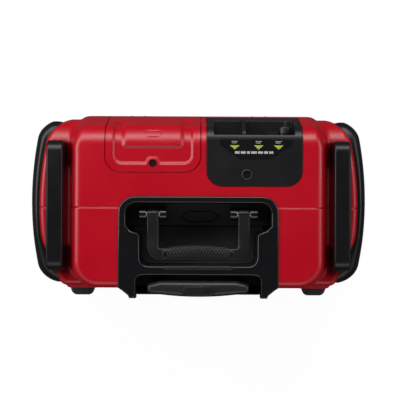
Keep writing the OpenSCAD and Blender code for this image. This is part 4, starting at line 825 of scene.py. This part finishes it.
# Soft sleeve on the bar: its rear is straight, its front bellies out as 1 - (x/half)^2, and a
# diamond knurl, the product of two slanted waves, covers all but its ends
def buildSleeve():
    g = sleeve
    x = barSteps(g["half"], 4, 0.5, 0.75)
    belly = 1 - (x / g["half"]) ** 2
    front = g["endFront"] + (g["middleFront"] - g["endFront"]) * belly
    shrink = endShrink(x, g["half"], g["endRound"], g["endShare"])
    reach = np.linspace(0, 2 * np.pi * g["knurlTurns"], g["around"], endpoint=False)
    wave = x[:, None] * 2 * np.pi / g["knurlPitch"]
    diamond = np.abs(np.sin((wave + reach) / 2) * np.sin((wave - reach) / 2))
    cover = ease(g["knurlEnd"] - np.abs(x), 0, 3)[:, None]
    lift = (diamond - 0.5) * 2 * g["knurlDepth"] * cover
    piece = barAlong("grip-sleeve", x, (g["rearY"] + front) / 2, g["level"],
                     ((g["rearY"] - front) / 2 - g["knurlDepth"]) * shrink, (g["height"] - g["knurlDepth"]) * shrink,
                     g["power"], g["around"], lift)
    return settle(piece, "handle_grip", "black_handle")


buildSleeve()

cap = dict(centre=(-125.4, 371.0), radius=9.5, edge=1.0, frontY=-122.8, rearY=-110.3, dome=4.0, tabWidth=4.0,
           tab=(-130.5, -121.5, 10.0), tabRadius=2.0)


# Domed rubber cap on the round socket, with a pull tab on its front
def buildCap():
    c = cap
    x, z = c["centre"]
    angles = np.radians(np.linspace(90, 8, 12))
    domeY = c["frontY"] + c["dome"] * (1 - np.sin(angles))
    domeR = c["radius"] * np.cos(angles) ** 0.8
    profile = [(c["rearY"], c["radius"] - c["edge"]), (c["rearY"] - c["edge"], c["radius"]),
               (c["frontY"] + c["dome"] + 0.5, c["radius"])]
    profile += list(zip(domeY[::-1], np.minimum(domeR[::-1], c["radius"])))
    profile = np.array(profile)[::-1]
    profile[0, 1] = 0.4
    shapes = [turned(profile, (x, 0, z), "y", 48)]
    low, high, tall = c["tab"]
    half, bend = c["tabWidth"] / 2, c["tabRadius"]
    shapes.append(prism(np.concatenate([
        arc(low + bend, z + tall / 2 - bend, bend, 90, 180, 6),
        arc(low + bend, z - tall / 2 + bend, bend, 180, 270, 6),
        [[high, z - tall / 2], [high, z + tall / 2]]]), x - half, x + half, "x"))
    piece = newMesh("round-socket-cap", *gather(*shapes))
    tidyMesh(piece, 40.0, flatten=False, outward=True)
    addBevel(piece, 0.4, 2, 50)
    return settle(piece, "socket_cap")


buildCap()
print("carry handle, sleeve and cap made")


# A CAD node's shape with rounded edges; with a level, only the edges that lie on that height
def roundedCopy(node, width, segments=2, level=None):
    piece = plainCopy(node)
    addBevel(piece, width, segments)
    if level is not None:
        piece.modifiers["roundedEdges"].limit_method = "WEIGHT"
        heights = np.empty(len(piece.data.vertices) * 3)
        piece.data.vertices.foreach_get("co", heights)
        heights = heights.reshape(-1, 3)[:, 2] / mm
        ends = np.empty(len(piece.data.edges) * 2, dtype=int)
        piece.data.edges.foreach_get("vertices", ends)
        onLevel = (np.abs(heights[ends.reshape(-1, 2)] - level) < 0.05).all(axis=1)
        weights = piece.data.attributes.new("bevel_weight_edge", "FLOAT", "EDGE")
        weights.data.foreach_set("value", onLevel.astype(float))
    return settle(piece, node)


# Width of the rounded edges and how many steps they take
edges = dict(handle_well=(2.4, 4, 403.0), charging_panel=(0.8, 2), left_grab_bar=(3.0, 4), right_grab_bar=(3.0, 4),
             trolley_button=(0.5, 2), trolley_cover=(1.5, 2), left_wheel=(1.0, 2), right_wheel=(1.0, 2),
             feet=(1.0, 2), front_panel=(0.6, 2))
for node, settings in edges.items():
    roundedCopy(node, *settings)
print("rounded copies:", len(edges))

cover = dict(planeX=256.0, front=(-119.0, -165.0), slant=(92.0, 190.0), rear=(72.0, 141.0), arch=(100.0, 124.0),
             low=24.0, top=352.0, corner=22.0, outer=252.4, bulge=560.0, bulgeY=-15.0, ends=(-137.5, 111.5),
             endRadius=30.0, under=1.5, thickness=2.0, screwOut=1.4,
             rolls=(13.0, 9.0, 50.0, 9.0), louvres=(7, -76.0, 28.0, 208.0, 13.0, 5.0), cut=(226.0, 260.0))


# Signed distance, in plan, to the cover's own bulged and round-cornered form
def coverDistance(x, y):
    c = cover
    side = np.hypot(x - c["outer"] + c["bulge"], y - c["bulgeY"]) - c["bulge"]
    return roundAnd(roundAnd(side, c["ends"][0] - y, c["endRadius"]), y - c["ends"][1], c["endRadius"])


# End cover as a skin over the red body: rays from the body's middle through a plane beside it stop
# at the cover's own form, which melts into the body's skin, roll by roll, towards its outline
def buildCover(node, sign):
    c = cover
    z = lines(steps(c["low"], c["low"] + 10, 1), steps(c["low"] + 10, 300, 5), steps(300, c["top"], 2))
    inset = cornerInset(c["corner"], c["top"] - z)
    front = c["front"][0] + (c["front"][1] - c["front"][0]) * ease(z, *c["slant"]) + inset
    rear = c["rear"][0] + (c["rear"][1] - c["rear"][0]) * ease(z, *c["arch"]) - inset
    s = np.linspace(0, 1, 120)
    t = 0.4 * s + 0.3 * (1 - np.cos(np.pi * s))  # crowds towards both edges
    y = front[:, None] + (rear - front)[:, None] * t
    z = np.repeat(z[:, None], len(t), axis=1)
    roll = 1.0
    for away, radius in zip((y - front[:, None], rear[:, None] - y, c["top"] - z, z - c["low"]), c["rolls"]):
        roll = roll * np.sqrt(1 - (1 - np.clip(away / radius, 0, 1)) ** 2)
    roll = roll.ravel()
    middle = np.array(shell["middle"])
    rays = np.stack([np.full(y.shape, c["planeX"]), y, z], axis=-1).reshape(-1, 3) - middle
    inner, outer = np.zeros(len(rays)), np.ones(len(rays))
    for step in range(24):
        share = (inner + outer) / 2
        spotX, spotY, spotZ = (rays * share[:, None] + middle).T
        onBody = np.maximum(bodyDistance(spotX, spotY, spotZ), spotX - shell["reach"][0]) + c["under"]
        inside = coverDistance(spotX, spotY) * roll + onBody * (1 - roll) < 0
        inner, outer = np.where(inside, share, inner), np.where(inside, outer, share)
    points = (rays * inner[:, None] + middle) * [sign, 1, 1]
    faces = gridFaces(*y.shape)
    piece = newMesh(node + "-skin", points, faces[:, ::-1] if sign > 0 else faces)
    addThickness(piece, c["thickness"])
    bake(piece)
    count, low, high, first, pitch, tall = c["louvres"]
    reach = sorted(sign * x for x in c["cut"])
    carve(piece, [newMesh("knife", *prism(rectangle(low, high, level, level + tall), *reach, "x"))
                  for level in first + pitch * np.arange(count)])
    tidyMesh(piece, 38.0, flatten=False)
    return settle(piece, node)


buildCover("left_end_cover", 1)
buildCover("right_end_cover", -1)


# The covers' screws, moved in with the covers
def moveScrews(node):
    piece = plainCopy(node)
    points = np.empty(len(piece.data.vertices) * 3)
    piece.data.vertices.foreach_get("co", points)
    x, y, z = points.reshape(-1, 3).T / mm
    inward = (y - cover["bulgeY"]) ** 2 / (2 * cover["bulge"]) - cover["screwOut"]
    piece.data.vertices.foreach_set("co", (np.stack([x - np.sign(x) * inward, y, z], axis=1) * mm).ravel())
    return settle(piece, node)


moveScrews("cover_screws")
print("end covers made")

pull = dict(half=73.0, frontY=101.0, frontEnd=105.5, rearY=124.5, rearEnd=118.5, shoulder=50.0, level=386.8,
            height=15.2, endRound=6.0, endShare=0.55, power=3.2)


# Grip of the trolley: front straight with dropped shoulders, rear bowed as 1 - (x/half)^2
def buildPull():
    p = pull
    x = barSteps(p["half"], 8, 0.8, 3.0)
    front = p["frontY"] + (p["frontEnd"] - p["frontY"]) * ease(np.abs(x), p["shoulder"], p["half"])
    rear = p["rearY"] + (p["rearEnd"] - p["rearY"]) * (x / p["half"]) ** 2
    shrink = endShrink(x, p["half"], p["endRound"], p["endShare"])
    piece = barAlong("trolley-pull", x, (front + rear) / 2, p["level"], (rear - front) / 2 * shrink,
                     p["height"] * shrink, p["power"], 56)
    return settle(piece, "trolley_grip")


buildPull()

guard = dict(centre=(88.0, 62.0), radius=68.5, thickness=3.0, x=(168.0, 226.0), turn=(47.0, 76.0), corner=9.0)


# Guard over each wheel's rear: a strip of a cylinder round the axle, its two lower corners rounded
def buildGuard(name, sign):
    g = guard
    along = np.radians(np.linspace(*g["turn"], 30))
    run = (along - along[0]) * g["radius"]
    inset = cornerInset(g["corner"], run)
    t = np.linspace(0, 1, 24)
    low, high = g["x"][0] + inset, g["x"][1] - inset
    x = (low[:, None] + (high - low)[:, None] * t) * sign
    y = g["centre"][0] + g["radius"] * np.cos(along)
    z = g["centre"][1] + g["radius"] * np.sin(along)
    points = np.stack([x, np.broadcast_to(y[:, None], x.shape), np.broadcast_to(z[:, None], x.shape)], axis=-1)
    faces = gridFaces(*x.shape)
    piece = newMesh(name, points, faces if sign > 0 else faces[:, ::-1])
    addThickness(piece, g["thickness"])
    bake(piece)
    tidyMesh(piece, 50.0, flatten=False)
    addBevel(piece, 0.9, 3, 50)
    return settle(piece, "rear_housing", stands=False)


buildGuard("left-wheel-guard", 1)
buildGuard("right-wheel-guard", -1)

# A small piece that rides on a node without standing for it: rounded by a width in some steps
def addTrim(name, shape, node, finish, width=None, segments=2):
    piece = newMesh(name, *shape)
    if width is None:
        tidyMesh(piece)
    else:
        tidyMesh(piece, outward=True)
        addBevel(piece, width, segments)
    return settle(piece, node, finish, stands=False)


label = dict(top=400.5, thick=0.12, arrows=(-51.3, -85.5, -114.0), arrowY=(-92.6, -86.6), arrowHalf=7.0,
             rows=((-98.2, 4.6, 0.0), (-96.0, 3.4, 0.6)), rowTall=0.7,
             title=((-55.0, 3.4), (-63.5, 3.4), (-71.0, 2.2), (-79.0, 4.0), (-88.0, 3.4), (-96.0, 2.8), (-103.5, 3.0)),
             titleY=(-84.0, -80.6))


# Printed marks on the label: three arrows towards the sockets, short dashes over each, and one
# broken line under them. Nothing is spelled out
def printLabel():
    p = label
    top = p["top"] + p["thick"]
    rowY, tipY = p["arrowY"]
    arrows = [prism([[x - p["arrowHalf"], rowY], [x + p["arrowHalf"], rowY], [x, tipY]], p["top"], top)
              for x in p["arrows"]]

    def dash(x, y, half, tall):
        return prism(rectangle(x - half, x + half, y - tall / 2, y + tall / 2), p["top"], top)

    dashes = [dash(x + shift, y, half, p["rowTall"]) for x in p["arrows"] for y, half, shift in p["rows"]]
    low, high = p["titleY"]
    dashes += [dash(x, (low + high) / 2, half, high - low) for x, half in p["title"]]
    for name, shapes, finish in (("label-arrows", arrows, "limePrint"), ("label-dashes", dashes, "palePrint")):
        addTrim(name, gather(*shapes), "panel_label", finish)


printLabel()

wellFloor = dict(thick=0.6, sink=0.2, inset=0.5, shelf=346.0, floor=338.0, step=22.6)


# Textured floor plates of the well: one on the shelf, one on the deeper floor behind it. Their black is lighter than
# the rest, as painted light down in the shaded well
def layWellFloor():
    f = wellFloor
    loop = growLoop(wellLoop, -f["inset"])
    front = loop[loop[:, 1] < f["step"]]
    rear = loop[loop[:, 1] > f["step"] + 2]
    edge = np.array([[-front[:, 0].max(), f["step"]], [front[:, 0].max(), f["step"]]])
    shelfLoop = np.concatenate([front[front[:, 0] > 0], edge[::-1], front[front[:, 0] < 0]])
    lip = np.array([[-rear[0, 0], f["step"] + 1], [rear[0, 0], f["step"] + 1]])
    floorLoop = np.concatenate([lip, rear])
    for name, outline, level in (("well-shelf", shelfLoop, f["shelf"]), ("well-floor", floorLoop, f["floor"])):
        addTrim(name, prism(outline, level - f["sink"], level + f["thick"]), "handle_well", "wellBlackPaintedLight", 0.3)


layWellFloor()

emblem = dict(centre=(-2.2, 9.7), half=(29.6, 8.2), slant=12.0, width=1.5, floor=346.4, height=1.2)
ridge = dict(half=50.0, centreY=82.6, centreZ=401.2, halfDepth=2.9, halfHeight=2.6, endRound=3.0, endShare=0.2,
             power=2.4)
lozenge = dict(centre=(0.0, 115.5), half=(26.5, 6.9), slant=9.0, width=1.5, floor=401.3, height=1.6)


# Raised six-sided frame on a piece
def layFrame(name, settings, node, finish=None):
    e = settings
    (x, y), (halfX, halfY) = e["centre"], e["half"]
    loop = np.array([[x - halfX + e["slant"], y - halfY], [x + halfX - e["slant"], y - halfY], [x + halfX, y],
                     [x + halfX - e["slant"], y + halfY], [x - halfX + e["slant"], y + halfY], [x - halfX, y]])
    inner = growLoop(loop, -e["width"])
    count = len(loop)
    points = np.concatenate([np.c_[outline, np.full(count, level)] for outline, level in (
        (loop, e["floor"] - 0.5), (loop, e["floor"] + e["height"]), (inner, e["floor"] + e["height"]),
        (inner, e["floor"] - 0.5))])
    addTrim(name, (points, gridFaces(4, count, wrapRows=True, wrapColumns=True)), node, finish, 0.35)


boss = dict(centre=(-69.1, -50.5), inner=5.6, outer=7.6, low=399.6, top=400.9)
rib = dict(x=(-67.3, -62.7), side=((-134.0, 346.5), (-134.0, 366.0), (-128.0, 380.0), (-116.0, 392.5),
                                  (-108.5, 397.5), (-108.5, 346.5)))


# Ring round the panel's screw and the tall rib between the two sockets
def trimPanel():
    s = boss
    ring = newMesh("panel-boss", *turned([
        (s["low"], s["inner"]), (s["top"] - 0.4, s["inner"]), (s["top"], s["inner"] + 0.5),
        (s["top"], s["outer"] - 0.6), (s["top"] - 0.5, s["outer"]), (s["low"], s["outer"])],
        (*s["centre"], 0), "z", 48, hollow=True))
    tidyMesh(ring, 50.0, flatten=False, outward=True)
    settle(ring, "charging_panel", "carryBlack", stands=False)
    addTrim("niche-rib", prism(rib["side"], *rib["x"], "x"), "charging_panel", "carryBlack", 1.6, 4)


trimPanel()


# The two frames, and the round-backed bar between well and trolley
def trimWell():
    layFrame("well-frame", emblem, "handle_well")
    layFrame("button-frame", lozenge, "trolley_grip", "trolleyBlackPaintedLight")
    r = ridge
    x = barSteps(r["half"], 3, 0.5, 8.0)
    shrink = endShrink(x, r["half"], r["endRound"], r["endShare"])
    bar = barAlong("well-divider", x, r["centreY"], r["centreZ"], r["halfDepth"] * shrink, r["halfHeight"] * shrink,
                   r["power"], 28)
    settle(bar, "handle_well", "carryBlack", stands=False)


trimWell()
print("label marks and well trim made")


# The camera hangs straight over the pack; pixel sizes are in the 400 x 400 frame
camera = dict(height=1800.0, focalPixels=982.0, framePixels=400, sensor=36.0, centreX=198.5, centreY=210.0,
              roll=0.25)


def hangCamera(settings):
    data = bpy.data.cameras.new("camera")
    eye = bpy.data.objects.new("camera", data)
    bpy.context.scene.collection.objects.link(eye)
    data.sensor_width = settings["sensor"]
    data.lens = settings["focalPixels"] * settings["sensor"] / settings["framePixels"]
    data.clip_end = 100.0
    middle = settings["framePixels"] / 2
    spot = np.array([settings["centreX"] - middle, middle - settings["centreY"], 0.0])
    spot = spot * settings["height"] / settings["focalPixels"]
    place = Vector((0.0, 0.0, settings["height"] * mm))
    look = (Vector(spot * mm) - place).normalized()
    up = Vector((math.sin(math.radians(settings["roll"])), -math.cos(math.radians(settings["roll"])), 0.0))
    right = look.cross(up).normalized()
    up = right.cross(look)
    eye.matrix_world = Matrix((
        (right.x, up.x, -look.x, place.x), (right.y, up.y, -look.y, place.y), (right.z, up.z, -look.z, place.z),
        (0.0, 0.0, 0.0, 1.0)))
    bpy.context.scene.camera = eye


hangCamera(camera)

# Places and sizes in metres, power in watts; the wide one in front lights the brow of the deck
lamps = {
    "frontSoftbox": dict(place=(0.25, -1.2, 1.45), size=(2.1, 0.7), power=25.0),
    "leftSoftbox": dict(place=(1.7, -0.45, 1.2), size=(1.2, 0.7), power=15.0),
    "rightSoftbox": dict(place=(-1.7, -0.45, 1.2), size=(1.2, 0.7), power=7.0),
    "rearSoftbox": dict(place=(0.0, 1.6, 1.6), size=(1.6, 0.7), power=5.0),
}


def hangLamp(name, settings):
    data = bpy.data.lights.new(name, "AREA")
    data.shape = "RECTANGLE"
    data.size, data.size_y = settings["size"]
    data.energy = settings["power"]
    lamp = bpy.data.objects.new(name, data)
    lamp.location = settings["place"]
    aim = Vector((0.0, 0.0, 0.3)) - lamp.location
    lamp.rotation_euler = aim.to_track_quat("-Z", "Y").to_euler()
    bpy.context.scene.collection.objects.link(lamp)


for name, settings in lamps.items():
    hangLamp(name, settings)

# Brightness of the sky at four heights of the direction, 0 level and 1 straight up, for matt
# surfaces and for reflections; what the camera sees behind all is white
sky = dict(heights=(0.10, 0.38, 0.62, 0.84), matt=(0.12, 0.48, 0.62, 0.14), gloss=(0.12, 0.80, 0.80, 0.02))


def lightWorld(settings):
    world = bpy.data.worlds.new("studio")
    bpy.context.scene.world = world
    world.cycles.sampling_method = "NONE"
    world.use_nodes = True
    tree = world.node_tree
    path = newNode(tree, "LightPath").outputs
    direction = newNode(tree, "TexCoord").outputs["Generated"]
    height = newNode(tree, "SeparateXYZ", {0: direction}).outputs["Z"]

    def levels(values):
        ramp = newNode(tree, "ValToRGB", dict(Fac=height))
        ramp.color_ramp.interpolation = "EASE"
        for index, (level, value) in enumerate(zip(settings["heights"], values)):
            stop = ramp.color_ramp.elements[index] if index < 2 else ramp.color_ramp.elements.new(level)
            stop.position = level
            stop.color = (value, value, value, 1.0)
        return ramp.outputs["Color"]

    seen = mathNode(tree, "MAXIMUM", path["Is Camera Ray"], path["Is Transmission Ray"])
    direct = mathNode(tree, "MAXIMUM", seen, path["Is Glossy Ray"])
    shine = mathNode(tree, "MULTIPLY", path["Is Glossy Ray"], levels(settings["gloss"]))
    other = mathNode(tree, "MULTIPLY", mathNode(tree, "SUBTRACT", 1.0, direct), levels(settings["matt"]))
    total = mathNode(tree, "ADD", mathNode(tree, "ADD", seen, shine), other)
    setInputs(tree, tree.nodes["Background"], dict(Color=(1.0, 1.0, 1.0, 1.0), Strength=total))


lightWorld(sky)


stage = dict(reach=6000.0, colour=(0.06, 0.06, 0.0605, 1.0), rough=0.7, lift=0.957)


# White floor that keeps the pack's shadow; what the camera sees of it is lifted to white
def layFloor(settings):
    reach = settings["reach"]
    corners = [(x, y, 0.0) for x, y in rectangle(-reach, reach, -reach, reach)]
    floor = newMesh("floor", corners, [(0, 1, 2, 3)])
    material, tree, shader = startMaterial("floor")
    path = newNode(tree, "LightPath").outputs
    setInputs(tree, shader, dict(
        Base_Color=settings["colour"], Roughness=settings["rough"], Specular_IOR_Level=0.0,
        Emission_Color=(1.0, 1.0, 1.0, 1.0),
        Emission_Strength=mathNode(tree, "MULTIPLY", path["Is Camera Ray"], settings["lift"])))
    floor.data.materials.append(material)


layFloor(stage)
bpy.context.scene.view_settings.view_transform = "Standard"
